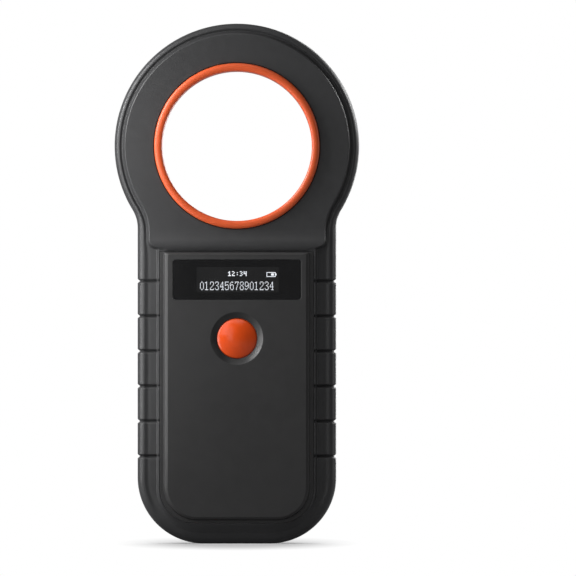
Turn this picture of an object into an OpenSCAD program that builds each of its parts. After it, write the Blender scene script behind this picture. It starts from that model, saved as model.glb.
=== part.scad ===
// Hand-held microchip scanner: a ring-shaped antenna head on a flat grip.
// Two hard shells close over a main board, a pouch cell and the antenna coil.
// +Z runs up the long axis, the display faces -Y and +X is the user's right.
// The origin is the middle of the bottom edge, on the parting plane of the shells.

/* [Head] */
// Outer radius of the round head
head_r = 33.9; // [33.6:0.1:35]
// Height of the head's centre above the bottom edge
head_z = 110.1; // [109.6:0.1:112]
// Inner radius of the trim ring, the clear opening in the head
ring_r = 20.75; // [20.4:0.05:20.9]
// Height of the trim ring's bead above the head's front face
bead_h = 1.1; // [0.8:0.05:1.2]

/* [Handle] */
// Width of the handle
handle_w = 55; // [54.6:0.1:57]
// Radius of the two bottom corners
corner_r = 18.3; // [17.5:0.1:19]
// Radius of the fillet where the head meets the handle
neck_r = 9.7; // [9:0.1:11]
// Number of grip grooves on each side
groove_n = 6; // [3:1:6]
// Distance from one grip groove to the next
groove_pitch = 9.7; // [9:0.1:9.9]
// Depth of a grip groove
groove_d = 0.65; // [0.4:0.05:0.8]

/* [Thickness] */
// Depth of the front shell at the outer band, from the parting plane
front_d = 8.2; // [8:0.1:8.3]
// Depth of the rear shell at the outer band, from the parting plane
rear_d = 10; // [9.8:0.1:10.2]
// Wall thickness of the two shells
wall = 2; // [1.8:0.1:2.1]

/* [Front] */
// Half width of the front panel at its flange
panel_hw = 21.2; // [21:0.05:21.25]
// Half width of the panel's raised face at its foot
face_hw = 20.05; // [19.8:0.05:20.1]
// Height of the panel's lower edge
panel_z0 = 5.7; // [5.7:0.05:6]
// Height of the panel's upper edge
panel_z1 = 80.8; // [80.3:0.1:80.8]
// Width of the display window
window_w = 35.5; // [34.5:0.1:36]
// Height of the display window
window_h = 11.1; // [10.9:0.1:11.3]
// Height of the display's centre above the bottom edge
window_z = 73.07; // [72.9:0.01:73.1]
// Radius of the scan button
button_r = 5.5; // [5.2:0.05:5.6]
// Height of the scan button's centre above the bottom edge
button_z = 56.84; // [56.5:0.02:57]

/* [Inside] */
// Length of the battery
cell_l = 46; // [36:1:46]
// Width of the battery
cell_w = 34; // [28:1:36]
// Thickness of the battery
cell_t = 5.6; // [4:0.1:5.7]
// Thickness of the main board
board_t = 1.6; // [1.2:0.2:1.6]

/* [Hidden] */
$fn = 96;

// Pieces are drawn lying down: x to the right, y up the handle, z out of the
// front from the parting plane. Rear pieces are drawn with z out of the rear.
sliver = 0.01;                  // smallest overlap or gap
gap = 0.02;                     // gap between parts that rest on each other
past = 1;                       // how far a cut runs past a face

// Depths from the parting plane
head_face = front_d + 1.2;      // front face of the head
frame_out = front_d + 1.4;      // frame around the front panel
panel_out = front_d + 2.4;      // front face of the panel
recess_floor = front_d + 0.2;   // floor of the panel recess
cavity_front = recess_floor - 2;
pad_out = rear_d + 1.4;         // rear face of the palm pad
cavity_head = rear_d - wall;    // rear of the cavity in the head
cavity_pad = pad_out - wall;    // rear of the cavity in the handle
board_f = 2;                    // front face of the main board
board_b = board_f - board_t;    // rear face of the main board
part_foot = board_f + gap;      // foot of the parts on the board
port_mid = board_b - 1.68;      // middle of the charging port

// Outline
half_w = handle_w / 2;
trim_or = ring_r + 1.15;        // outside of the trim ring's tube
hole_r = trim_or + 0.05;        // hole through both shells
collar_r = hole_r + 1.3;        // wall around that hole
neck_x = half_w + neck_r;       // centre of the neck fillet
neck_dz = sqrt(pow(head_r + neck_r, 2) - pow(neck_x, 2));
neck_z = head_z - neck_dz;
neck_sweep = atan(neck_dz / neck_x); // angle the fillet turns through
groove_top = 72.7;              // height of the uppermost groove

// Places as [x, height]
head_xy = [[0, head_z]];
window_xy = [[0, window_z]];
button_xy = [[0, button_z]];
screw_xy = [[-17, 12], [17, 12], [-17, 77.6], [17, 77.6]];
head_screw_rad = head_r - 5;
head_screw_xy = [for (s = [-1, 1])
    [s * head_screw_rad * sin(45), head_z + head_screw_rad * cos(45)]];
board_screw_xy = [[-20.8, 48], [20.8, 48]];

// Screws
boss_r = 2.6;
boss_gap = 0.05;                // gap at the free end of a boss
boss_root = 0.3;                // how far a boss sinks into its wall
seat = 9;                       // depth of the screw heads in the handle
head_seat = 8;                  // depth of the screw heads in the head
case_shank_r = 1;
board_shank_r = 0.9;

// ---- helpers -------------------------------------------------------------
// stands a piece drawn with its front facing +Z
module stand() { rotate([90, 0, 0]) children(); }

// stands a piece drawn with its rear facing +Z
module stand_rear() { stand() mirror([0, 0, 1]) children(); }

// children at each [x, y]
module at(points) { for (p = points) translate([p.x, p.y, 0]) children(); }

// children and their mirror image across x = 0
module both_sides() { for (m = [0, 1]) mirror([m, 0, 0]) children(); }

// quarter disc in the first quadrant
module pie(r) {
    intersection() {
        circle(r);
        square(r + 1);
    }
}

// rectangle from y0 to y1 with round corners, r0 at the bottom and r1 at the top
module outline(half, y0, y1, r0, r1) {
    translate([-half + r0, y0]) square([2 * (half - r0), r0]);
    translate([-half, y0 + r0]) square([2 * half, y1 - y0 - r0 - r1]);
    translate([-half + r1, y1 - r1]) square([2 * (half - r1), r1]);
    both_sides() {
        translate([half - r0, y0 + r0]) mirror([0, 1]) pie(r0);
        translate([half - r1, y1 - r1]) pie(r1);
    }
}
module plate(half, y0, y1, r0, r1, z0, z1) {
    translate([0, 0, z0]) linear_extrude(z1 - z0) outline(half, y0, y1, r0, r1);
}

// centred shapes, given by their half sizes
module round_outline(half_x, half_y, r) { outline(half_x, -half_y, half_y, r, r); }
module round_slab(half_x, half_y, r, z0, z1) { plate(half_x, -half_y, half_y, r, r, z0, z1); }
module slab(half_x, half_y, z0, z1) { block(-half_x, half_x, -half_y, half_y, z0, z1); }

module block(x0, x1, y0, y1, z0, z1) {
    translate([x0, y0, z0]) cube([x1 - x0, y1 - y0, z1 - z0]);
}
module rod(r, z0, z1) { translate([0, 0, z0]) cylinder(r = r, h = z1 - z0); }
module tube(outer, inner, z0, z1) {
    translate([0, 0, z0]) difference() {
        cylinder(r = outer, h = z1 - z0);
        translate([0, 0, -1]) cylinder(r = inner, h = z1 - z0 + 2);
    }
}

// ---- outer body ------------------------------------------------------------
// section through the rim: x is the distance from an inner edge, y the depth
module rim(width, depth, r) {
    square([width, depth - r]);
    translate([0, depth - r]) square([width - r, r]);
    translate([width - r, depth - r]) pie(r);
}

// one half of the outer body, from the parting plane to a depth, rim rounding r
module half_body(depth, r) {
    straight = half_w - corner_r;  // half length of the straight bottom edge
    side_top = neck_z + 8.6;       // the sides end inside the head
    web_x = 24;
    // head
    at(head_xy) rotate_extrude() rim(head_r, depth, r);
    // straight sides of the handle
    translate([0, side_top, 0]) rotate([90, 0, 0]) linear_extrude(side_top - corner_r)
        both_sides() rim(half_w, depth, r);
    // bottom edge
    rotate([90, 0, 90]) translate([0, 0, -straight]) linear_extrude(2 * straight)
        translate([corner_r, 0]) mirror([1, 0]) rim(corner_r, depth, r);
    // bottom corners
    both_sides() translate([straight, corner_r, 0])
        rotate([0, 0, -90]) rotate_extrude(angle = 90) rim(corner_r, depth, r);
    // webs in the neck, which follow its fillet in short flats
    both_sides() linear_extrude(depth - r - 0.2) polygon(concat(
        [[web_x, neck_z - 1], [half_w - 0.1, neck_z - 1]],
        [for (a = [180:-neck_sweep / 4:180 - neck_sweep])
            [neck_x + (neck_r + 0.05) * cos(a), neck_z + (neck_r + 0.05) * sin(a)]],
        [[web_x, neck_z + 8]]));
}

// outline shared by the panel frame and the palm pad, stepped in near its face
module stepped_pad(top_r, step, z0, z1) {
    half = 22.15;
    y0 = 4.6;
    y1 = 83.4;
    r = 10.5;
    plate(half, y0, y1, r, top_r, z0, z1 - step);
    plate(half - step, y0 + step, y1 - step, r - step, top_r - step, z1 - step - sliver, z1);
}

// the hollow inside; each part starts past the parting plane
module head_cavity(depth) { at(head_xy) tube(head_r - wall, collar_r, -past, depth); }
module handle_cavity(depth) {
    side = wall + 0.2;
    plate(half_w - side, side, 84, corner_r - side, 1, -past, depth);
}

// grip grooves: a V on the side and a V across the band
module grooves(depth, top) {
    flare = 1.4;
    at([for (i = [0:groove_n - 1]) [0, groove_top - i * groove_pitch]]) both_sides() {
        translate([0, 0, -past]) linear_extrude(top + 3)
            polygon([[half_w + 0.5, -1.1], [half_w + 0.5, 1.1], [half_w - groove_d, 0]]);
        translate([21.4, 0, depth - groove_d]) rotate([90, 0, 90]) linear_extrude(8)
            polygon([[0, 0], [-flare, groove_d + flare], [flare, groove_d + flare]]);
    }
}

// children extruded up the handle from height y, centred on the charging port
module port_frame(y) { translate([0, y, port_mid]) rotate([-90, 0, 0]) children(); }
module port_cut() {
    port_frame(-past) linear_extrude(wall + 3) round_outline(4.9, 2.05, 1.6);
}

// ---- shells --------------------------------------------------------------
// shoulders between the head and the panel frame, [x, y]
shoulder_points = [[-24.4, 91.4], [-24.4, 86.4], [-22, 83], [22, 83],
    [24.4, 86.4], [24.4, 91.4], [18, 86.8], [-18, 86.8]];
// section of the brow above the panel, [height, depth]
brow_points = [[81, frame_out - 1], [87.6, head_face - 0.5], [87.4, head_face],
    [83.4, frame_out + 0.8], [82.5, frame_out + 0.8], [81, frame_out]];
brow_hw = 19.5;
shell_bite = 1;                 // how far raised areas sink into the shell
recess_gap = 0.1;               // play around the panel
panel_r = 9.6;                  // lower corners of the panel
panel_top_r = 0.4;

module front_solid() {
    foot = front_d - shell_bite;
    half_body(front_d, 2);
    // bevelled face of the head
    at(head_xy) rotate_extrude() polygon([[0, foot], [head_r - 2.4, foot],
        [head_r - 2.4, front_d], [head_r - 3.2, head_face], [0, head_face]]);
    translate([0, 0, foot]) linear_extrude(head_face - foot) polygon(shoulder_points);
    stepped_pad(2, 0.4, foot, frame_out);
    translate([-brow_hw, 0, 0]) rotate([90, 0, 90]) linear_extrude(2 * brow_hw)
        polygon(brow_points);
}

module front_shell() {
    boss_top = cavity_front + boss_root;
    color([0.20, 0.20, 0.21]) stand() {
        difference() {
            front_solid();
            at(head_xy) rod(hole_r, -past, head_face + 2);
            head_cavity(cavity_front);
            handle_cavity(cavity_front);
            // recess for the panel
            plate(panel_hw + recess_gap, panel_z0 - recess_gap, panel_z1 + recess_gap,
                panel_r + recess_gap, panel_top_r + recess_gap, recess_floor, frame_out + 3);
            // openings for the display and the button
            at(window_xy) round_slab(15.5, 6.5, 0.5, cavity_front - past, frame_out);
            at(button_xy) rod(button_r + 1.3, cavity_front - past, frame_out);
            grooves(front_d, head_face);
            port_cut();
        }
        // bosses that take the case screws and the board screws
        at(concat(screw_xy, head_screw_xy)) tube(boss_r, case_shank_r + gap, boss_gap, boss_top);
        at(board_screw_xy) tube(2.2, board_shank_r + gap, board_f + boss_gap, boss_top);
    }
}

// hollow rear shell, before its screw bosses
module rear_hollow() {
    difference() {
        union() {
            half_body(rear_d, 2.6);
            // palm pad
            stepped_pad(6, 0.5, rear_d - shell_bite, pad_out);
        }
        at(head_xy) rod(hole_r, -past, rear_d + 2);
        head_cavity(cavity_head);
        handle_cavity(cavity_pad);
        grooves(rear_d, pad_out);
        mirror([0, 0, 1]) port_cut();
        label_plate(0.2, pad_out - 0.25, pad_out + past);
    }
}

// counterbore for a screw head and the hole for its shank
module screw_hole(counter_r, depth, face) {
    rod(counter_r, depth, face + past);
    rod(1.2, -past, depth + 1);
}

module rear_shell() {
    color([0.19, 0.19, 0.20]) stand_rear() difference() {
        union() {
            rear_hollow();
            at(screw_xy) rod(boss_r + 0.5, boss_gap, cavity_pad + boss_root);
            at(head_screw_xy) rod(boss_r, boss_gap, cavity_head + boss_root);
        }
        at(screw_xy) screw_hole(2.4, seat, pad_out);
        at(head_screw_xy) screw_hole(2.3, head_seat, rear_d);
        // sound holes behind the buzzer
        at([for (i = [-2:2]) [i * 2.6, 72]]) rod(0.7, cavity_pad - past, pad_out + past);
    }
}

// ---- head ----------------------------------------------------------------
former_core = collar_r + 0.85;  // outside of the former's core
former_slot = 3.4;              // half width of the former's winding slot

// a tube through the hole, with a round-topped bead on the front face
module ring_trim() {
    bead_w = trim_or + 1 - ring_r;
    bead_r = bead_w / 2;
    foot = head_face + gap;
    color([0.85, 0.33, 0.17]) stand() at(head_xy) rotate_extrude() {
        translate([ring_r, -rear_d]) square([trim_or - ring_r, rear_d + foot]);
        translate([ring_r, foot]) square([bead_w, bead_h - bead_r]);
        translate([ring_r + bead_r, foot + bead_h - bead_r]) both_sides() pie(bead_r);
    }
}
module coil_former() {
    inner = collar_r + 0.15;
    flange = collar_r + 2.6;
    end = former_slot + 0.8;
    color([0.85, 0.84, 0.78]) stand() at(head_xy) rotate_extrude() polygon([
        [inner, -end], [flange, -end], [flange, -former_slot], [former_core, -former_slot],
        [former_core, former_slot], [flange, former_slot], [flange, end], [inner, end]]);
}
module antenna_coil() {
    half = former_slot - 0.05;
    color([0.72, 0.42, 0.2]) stand() at(head_xy)
        tube(collar_r + 2.4, former_core + 0.05, -half, half);
}
module coil_leads() {
    lead_y = 81;
    color([0.7, 0.36, 0.18]) stand() both_sides() translate([1.5, lead_y, board_f + 0.3])
        rotate([-90, 0, 0]) cylinder(r = 0.25, h = head_z - collar_r - 2.4 - lead_y);
}

// ---- front panel, display and button --------------------------------------
tape_t = 0.15;                  // thickness of the panel's tape
panel_back = recess_floor + tape_t;
opening_hw = 14.6;              // half width of the opening behind the window
opening_hh = 4.8;               // half height of that opening
window_back = panel_out - 1.15;
window_seat = window_back - 0.1;
glass_back = recess_floor - 1.5;
glass_front = recess_floor - 0.1;
flex_t = 0.12;
connector_top = 64;             // upper edge of the flex connector
plunger_top = board_f + 4.5;

module window_plate(margin, z0, z1) {
    at(window_xy) round_slab(window_w / 2 + margin, window_h / 2 + margin, 0.8 + margin, z0, z1);
}

module front_panel() {
    step = panel_out - 0.4;
    well_d = 1.3;
    color([0.2, 0.2, 0.2]) stand() difference() {
        union() {
            // flange, then the raised face in two steps
            plate(panel_hw, panel_z0, panel_z1, panel_r, panel_top_r, panel_back, frame_out);
            plate(face_hw, panel_z0 + 1.05, panel_z1 - 0.1, 8.5, 0.35, frame_out - sliver, step);
            plate(face_hw - 0.5, panel_z0 + 1.5, panel_z1 - 0.4, 8.05, 0.3,
                step - sliver, panel_out);
        }
        // seat and opening for the window
        window_plate(0.05, window_seat, panel_out + past);
        at(window_xy) round_slab(opening_hw, opening_hh, 0.5, panel_back - past, panel_out);
        // hole and conical well for the button
        at(button_xy) {
            rod(button_r + 0.1, panel_back - past, panel_out + past);
            translate([0, 0, panel_out - well_d])
                cylinder(r1 = button_r + 0.1, r2 = button_r + 1.72, h = well_d + sliver);
        }
    }
}
module panel_tape() {
    inset = 0.4;
    low = recess_floor - past;
    high = recess_floor + past;
    color([0.9, 0.88, 0.8]) stand() difference() {
        plate(panel_hw - inset, panel_z0 + inset, panel_z1 - inset, panel_r - inset, 0.4,
            recess_floor + gap, panel_back - sliver);
        plate(16.4, window_z - 6.8, window_z + 6.9, 0.5, 0.5, low, high);
        at(button_xy) rod(button_r + 1.9, low, high);
        // opening in the lower half
        plate(15.5, 12, 46, 4, 2, low, high);
    }
}
module display_window() {
    color([0.08, 0.08, 0.09]) stand() window_plate(0, window_back, panel_out - 0.12);
}
module window_tape() {
    color([0.1, 0.1, 0.1]) stand() at(window_xy) difference() {
        round_slab(window_w / 2 - 0.3, window_h / 2 - 0.2, 0.5,
            window_seat + sliver, window_back - sliver);
        round_slab(opening_hw + 0.1, opening_hh + 0.05, 0.5, panel_out - 2, panel_out);
    }
}
module display_gasket() {
    color([0.15, 0.15, 0.15]) stand() at(window_xy) difference() {
        round_slab(opening_hw - 0.2, opening_hh - 0.2, 0.4, recess_floor + 0.1, panel_out - 1.3);
        round_slab(12.9, 3.9, 0.3, recess_floor - past, panel_out);
    }
}
module oled_glass() {
    color([0.12, 0.13, 0.15]) stand() at(window_xy) slab(15, 5.75, glass_back, glass_front);
}
module oled_polarizer() {
    color([0.14, 0.14, 0.16]) stand() at(window_xy)
        slab(12.7, 3.7, glass_front + sliver, recess_floor + 0.05);
}
// from the back of the glass, down to the board and along it to the connector
module oled_flex() {
    half = 6;
    bend_y = window_z - 6;
    top = glass_back - sliver;
    foot = board_f + 0.03;
    color([0.75, 0.45, 0.15]) stand() {
        block(-half, half, bend_y, window_z - 4.9, top - flex_t, top);
        block(-half, half, bend_y - flex_t, bend_y, foot, top);
        block(-half, half, connector_top + 0.05, bend_y, foot, foot + flex_t);
    }
}
module flex_connector() {
    color([0.88, 0.86, 0.8]) stand()
        block(-6.8, 6.8, connector_top - 2.6, connector_top, board_f + sliver, board_f + 1.2);
}
module display_holder() {
    color([0.9, 0.9, 0.88]) stand() at(window_xy) difference() {
        block(-13.6, 13.6, -4.6, 5.3, board_f + sliver, glass_back - gap);
        block(-12, 12, -3.2, 3.9, board_f - past, recess_floor);
    }
}
// the cap's dome is part of a sphere; a flange holds it behind the panel
module scan_button() {
    dome_h = 1.7;
    top = panel_out + 0.8;
    sphere_r = (button_r * button_r + dome_h * dome_h) / (2 * dome_h);
    stem_foot = plunger_top + gap;
    color([0.9, 0.38, 0.2]) stand() at(button_xy) {
        rotate_extrude() intersection() {
            translate([0, top - sphere_r]) circle(sphere_r);
            translate([0, recess_floor]) square([button_r, top]);
        }
        rod(button_r + 0.9, recess_floor - 1.05, recess_floor + 0.1);
        rod(2.2, stem_foot, recess_floor - 0.98);
    }
}
module tact_switch() {
    color([0.15, 0.15, 0.16]) stand() at(button_xy) difference() {
        slab(3, 3, board_f + sliver, board_f + 3.5);
        rod(1.8, board_f + 1.5, board_f + 4);
    }
}
module switch_plunger() {
    color([0.85, 0.85, 0.85]) stand() at(button_xy) rod(1.75, board_f + 2.1, plunger_top);
}

// ---- board and its parts ---------------------------------------------------
passive_xy = [[-17, 36], [-17, 38.4], [-17, 40.8], [-17, 43.2], [-2.6, 36], [-2.6, 38.4],
    [-2.6, 44], [4.6, 40], [4.6, 42.4], [4.6, 47], [15, 40], [15, 42.4], [15, 46.6],
    [9, 27.5], [4, 27.5], [-6, 50], [6, 51.5], [-12, 80], [12, 80], [-8, 80], [8, 80],
    [-19, 66], [-19, 63.6], [19, 66], [19, 63.6]];
buzzer_xy = [[0, 73.6]];
port_y = 0.7;                   // height of the port's mouth
wireless_top = board_f + 0.82;  // front face of the wireless board

module main_board() {
    color([0.06, 0.30, 0.16]) stand() difference() {
        plate(24.4, 3.1, 82.4, 15.2, 3, board_b, board_f);
        at(screw_xy) rod(3.3, -1, 4);
        at(board_screw_xy) rod(1.15, -1, 4);
    }
}
// chip body with a row of leads on its left and right
module chip(width, length, thick, leads) {
    pitch = 1.27;
    foot = board_f + 0.12;
    slab(width / 2, length / 2, foot, foot + thick);
    both_sides() at([for (i = [0:leads - 1]) [width / 2 + 0.35, (i - (leads - 1) / 2) * pitch]])
        slab(0.45, 0.2, part_foot, board_f + 0.3);
}
module microcontroller() { color([0.12, 0.12, 0.13]) stand() at([[-8, 41]]) chip(7, 7, 1, 5); }
module reader_chip() { color([0.13, 0.13, 0.14]) stand() at([[10, 44]]) chip(3.9, 9.9, 1.4, 7); }
module power_chip() { color([0.12, 0.12, 0.13]) stand() at([[9, 32]]) chip(3.9, 4.9, 1.2, 4); }
module crystal() {
    color([0.75, 0.75, 0.77]) stand() at([[-9, 33]])
        round_slab(2.5, 1.6, 0.5, part_foot, board_f + 1.2);
}
module inductor() {
    color([0.25, 0.24, 0.24]) stand() at([[16, 33]]) {
        round_slab(2.6, 2.6, 0.8, part_foot, board_f + 2.6);
        rod(1.9, board_f + 2.5, board_f + 2.75);
    }
}
module board_passives() {
    color([0.7, 0.6, 0.45]) stand() at(passive_xy) slab(0.8, 0.4, part_foot, board_f + 0.7);
}
module wireless_board() {
    color([0.05, 0.18, 0.32]) stand() block(-8, 8, 10, 23, part_foot, wireless_top);
}
module wireless_shield() {
    color([0.75, 0.76, 0.77]) stand() at([[0, 14.8]])
        round_slab(6.5, 4.2, 0.5, wireless_top + gap, board_f + 2.6);
}
module buzzer() {
    color([0.1, 0.1, 0.1]) stand_rear() at(buzzer_xy) difference() {
        rod(4.5, -board_b + gap, 4.2);
        rod(0.9, 3.2, 5);
    }
}
// metal sleeve
module usb_port() {
    half_x = 4.47;
    half_y = 1.63;
    r = 1.4;
    sheet = 0.3;
    color([0.78, 0.78, 0.8]) stand() port_frame(port_y) difference() {
        linear_extrude(7.35) round_outline(half_x, half_y, r);
        translate([0, 0, -past]) linear_extrude(7.2)
            round_outline(half_x - sheet, half_y - sheet, r - sheet);
    }
}
// tongue and the block it stands on
module usb_tongue() {
    color([0.1, 0.1, 0.1]) stand() port_frame(port_y) {
        translate([0, 0, 0.6]) linear_extrude(4.4) round_outline(3.3, 0.35, 0.2);
        translate([0, 0, 4.9]) linear_extrude(1.28) round_outline(4.1, 1.28, 1.1);
    }
}

// ---- battery ----------------------------------------------------------------
cell_y0 = 19.5;
cell_top = cell_y0 + cell_l;
cell_back = cavity_pad - 0.2;
plug_x = 10.3;
plug_y0 = 68.5;
plug_top = 71.4;

module battery() {
    color([0.72, 0.74, 0.76]) stand_rear()
        plate(cell_w / 2, cell_y0, cell_top, 1.5, 1.5, cell_back - cell_t, cell_back);
}
module battery_tape() {
    color([0.93, 0.93, 0.9]) stand_rear() plate(10, cell_y0 + 5, cell_top - 5, 1, 1,
        cell_back + sliver, cavity_pad - sliver);
}
// a lead leaves the cell, bends forward, and bends up into the plug
module lead(x) {
    wire_r = 0.45;
    bend_r = 0.8;
    z0 = -(cavity_pad - 3.4);
    z1 = -1.9;
    y0 = cell_top + gap;
    y1 = max(66.3, cell_top + 0.5 + bend_r);
    y2 = y1 + bend_r;
    translate([x, 0, 0]) {
        translate([0, y0, z0]) rotate([-90, 0, 0]) cylinder(r = wire_r, h = y1 - bend_r - y0);
        translate([0, y1 - bend_r, z0 + bend_r]) rotate([0, 90, 0])
            rotate_extrude(angle = 90) translate([bend_r, 0]) circle(wire_r);
        translate([0, y1, 0]) rod(wire_r, z0 + bend_r, z1 - bend_r);
        translate([0, y2, z1 - bend_r]) rotate([0, 90, 180]) rotate([0, 0, 90])
            rotate_extrude(angle = 90) translate([bend_r, 0]) circle(wire_r);
        translate([0, y2, z1]) rotate([-90, 0, 0]) cylinder(r = wire_r, h = plug_y0 - gap - y2);
    }
}
module battery_lead_red() { color([0.75, 0.08, 0.06]) stand() lead(plug_x - 1); }
module battery_lead_black() { color([0.05, 0.05, 0.05]) stand() lead(plug_x + 1); }
module battery_plug() {
    color([0.92, 0.9, 0.84]) stand()
        block(plug_x - 2.4, plug_x + 2.4, plug_y0, plug_top, -3.2, board_b - 0.1);
}
module battery_socket() {
    color([0.9, 0.88, 0.82]) stand()
        block(plug_x - 3, plug_x + 3, plug_top + 0.05, 75.4, -3.6, board_b - gap);
}

// ---- label and fasteners ------------------------------------------------------
// the label's outline, grown by a margin for its recess
module label_plate(margin, z0, z1) {
    at([[0, 43]]) round_slab(14.9 + margin, 15.9 + margin, 1.4 + margin, z0, z1);
}
module rear_label() {
    color([0.72, 0.72, 0.72]) stand_rear() label_plate(0, pad_out - 0.24, pad_out - 0.06);
}
// pan head screw with a cross slot, head at a rear depth, pointing to the front
module screw(depth, shank_r, length, pan_r, pan_h) {
    slot_w = 0.44;
    difference() {
        union() {
            translate([0, 0, depth + gap]) cylinder(r = pan_r, h = pan_h);
            translate([0, 0, depth - length]) cylinder(r = shank_r, h = length + 0.1);
        }
        for (a = [0, 90]) rotate([0, 0, a])
            translate([-pan_r * 0.55, -slot_w / 2, depth + pan_h - 0.6])
                cube([pan_r * 1.1, slot_w, 1]);
    }
}
// every case screw ends 4 in front of the parting plane
module case_screw(depth) { screw(depth, case_shank_r, depth + 4, 2, 1.4); }
module case_screws() {
    color([0.55, 0.55, 0.57]) stand_rear() {
        at(screw_xy) case_screw(seat);
        at(head_screw_xy) case_screw(head_seat);
    }
}
module board_screws() {
    color([0.6, 0.6, 0.62]) stand_rear() at(board_screw_xy)
        screw(-board_b, board_shank_r, 5, 1.8, 1.2);
}

front_shell();
rear_shell();
ring_trim();
front_panel();
panel_tape();
display_window();
window_tape();
display_gasket();
oled_glass();
oled_polarizer();
oled_flex();
flex_connector();
display_holder();
scan_button();
tact_switch();
switch_plunger();
main_board();
microcontroller();
reader_chip();
power_chip();
crystal();
inductor();
board_passives();
wireless_board();
wireless_shield();
buzzer();
usb_port();
usb_tongue();
battery();
battery_tape();
battery_lead_red();
battery_lead_black();
battery_plug();
battery_socket();
coil_former();
antenna_coil();
coil_leads();
rear_label();
case_screws();
board_screws();
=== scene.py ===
# A handheld device: a flat body with a round, open head above it. The front carries a panel
# with a display window and a round button, the rear a blank label and six screws, and the
# foot a charging port. It stands upright along +z with its foot at z = 0 and faces -y.
# The two shells part on the plane y = 0.
import math
import bpy
import numpy as np
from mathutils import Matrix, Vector
from mathutils.geometry import delaunay_2d_cdt


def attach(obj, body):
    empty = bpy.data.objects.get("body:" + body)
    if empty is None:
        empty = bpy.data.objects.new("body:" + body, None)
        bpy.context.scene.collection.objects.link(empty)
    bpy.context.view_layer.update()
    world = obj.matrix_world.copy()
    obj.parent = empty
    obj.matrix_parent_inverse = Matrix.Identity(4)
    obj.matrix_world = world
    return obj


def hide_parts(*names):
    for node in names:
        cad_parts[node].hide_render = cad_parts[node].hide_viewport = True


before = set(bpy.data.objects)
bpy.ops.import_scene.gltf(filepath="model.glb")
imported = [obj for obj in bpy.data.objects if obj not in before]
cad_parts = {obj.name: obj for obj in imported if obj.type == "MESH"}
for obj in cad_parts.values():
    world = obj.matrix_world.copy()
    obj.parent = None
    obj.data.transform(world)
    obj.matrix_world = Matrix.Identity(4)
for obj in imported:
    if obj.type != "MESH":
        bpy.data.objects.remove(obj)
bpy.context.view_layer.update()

# Shapes are drawn in millimetres as (x, depth, z). Depth is -y: it grows from the parting
# plane towards the front. Pieces built with Skin.turn_over() have it grow towards the rear.

# Outline
HEAD_R = 33.893
HEAD_Z = 110.1
HALF_W = 27.5
CORNER_R = 18.3
NECK_R = 9.7
NECK_X = HALF_W + NECK_R
NECK_DROP = math.sqrt((HEAD_R + NECK_R) ** 2 - NECK_X ** 2)
NECK_Z = HEAD_Z - NECK_DROP
SWEEP = math.atan2(NECK_DROP, NECK_X)

# Grooves across the sides
GROOVE_PITCH = 9.7
GROOVES = [72.7 - GROOVE_PITCH * i for i in range(6)]
GROOVE_D = 0.7
GROOVE_HALF_W = 0.62

# Opening of the head
HOLE_R = 21.95
COLLAR_R = 23.3
SEAT_R = 23.25
RING_SEGMENTS = 192

# Shells
CAVITY_INSET = 2.2
CHAMFER = 0.3
FRONT_SPLIT_Z = 80.0        # the straight side strips of each face end at these heights
REAR_SPLIT_Z = 76.5
FRONT_CEILING = 6.4
REAR_CEILING = 9.4
REAR_HEAD_CEILING = 8.0
CEILING_SLOPE_Z = (81.5, 82.6)

# Display window, button and recess of the front panel
WINDOW_Z = 73.07
BUTTON_Z = 56.84
RECESS_D = 8.4
RECESS_HW, RECESS_Z0, RECESS_Z1, RECESS_R0, RECESS_R1 = 21.3, 5.65, 80.9, 9.5, 0.5
RECESS = (RECESS_HW, RECESS_Z0, RECESS_Z1, RECESS_R0, RECESS_R1)

# Raised frame round the recess
FRAME_D = 9.6
FRAME_HW, FRAME_Z0, FRAME_R = 22.0, 4.95, 10.2
FRAME = (FRAME_HW, FRAME_Z0, 200.0, FRAME_R, 1.0)

# Raised face of the head
BROW_R = 2.2                # corner radius where it meets the neck
BROW_INSET = 2.9            # inset of its edge in the neck

# Raised pad of the rear and the shallow bed of its label
PAD_HW, PAD_Z0, PAD_Z1, PAD_R0, PAD_R1 = 21.9, 4.85, 83.15, 10.25, 5.75
PAD = (PAD_HW, PAD_Z0, PAD_Z1, PAD_R0, PAD_R1)
REAR_D = 10
PAD_RISE = 1.4
PAD_D = 11.4
LABEL_HW, LABEL_Z0, LABEL_Z1, LABEL_R = 15.1, 26.9, 59.1, 1.6
SOUND_HOLES = [(i * 2.6, 72.0) for i in range(-2, 3)]
SOUND_R = 0.7

# Screws, as (x, z)
UPPER_SCREW_Z = 77.6
PAD_SCREWS = [(-17, 12), (17, 12), (-17, UPPER_SCREW_Z), (17, UPPER_SCREW_Z)]
HEAD_SCREW_R = 28.9
HEAD_SCREWS = [(s * HEAD_SCREW_R * math.sin(math.pi / 4),
                HEAD_Z + HEAD_SCREW_R * math.cos(math.pi / 4)) for s in (-1, 1)]
BOARD_SCREWS = [(-20.8, 48), (20.8, 48)]
PAD_SEAT_D = 9.0
HEAD_SEAT_D = 8.0

# Charging port and the opening for it, which spans both shells
PORT_D = -1.28
CUT_HW = 4.9
CUT_R = 1.6
CUT_FRONT_D = 0.77
CUT_REAR_D = 3.33
CUT_X = 4.668               # half width on the parting plane
CUT_FRONT_X = 4.433         # half width at the chamfer's depth, front and rear
CUT_REAR_X = 4.81


# ---- plane helpers --------------------------------------------------------------
def smooth_step(low, high, value):
    t = np.clip((value - low) / (high - low), 0.0, 1.0)
    return t * t * (3 - 2 * t)


def xyz(x, depth, z):
    return np.stack(np.broadcast_arrays(x, depth, z), axis=-1)


def lift(loop, depth):
    """Points of a loop of (x, z) at a depth."""
    return xyz(loop[:, 0], depth, loop[:, 1])


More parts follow.
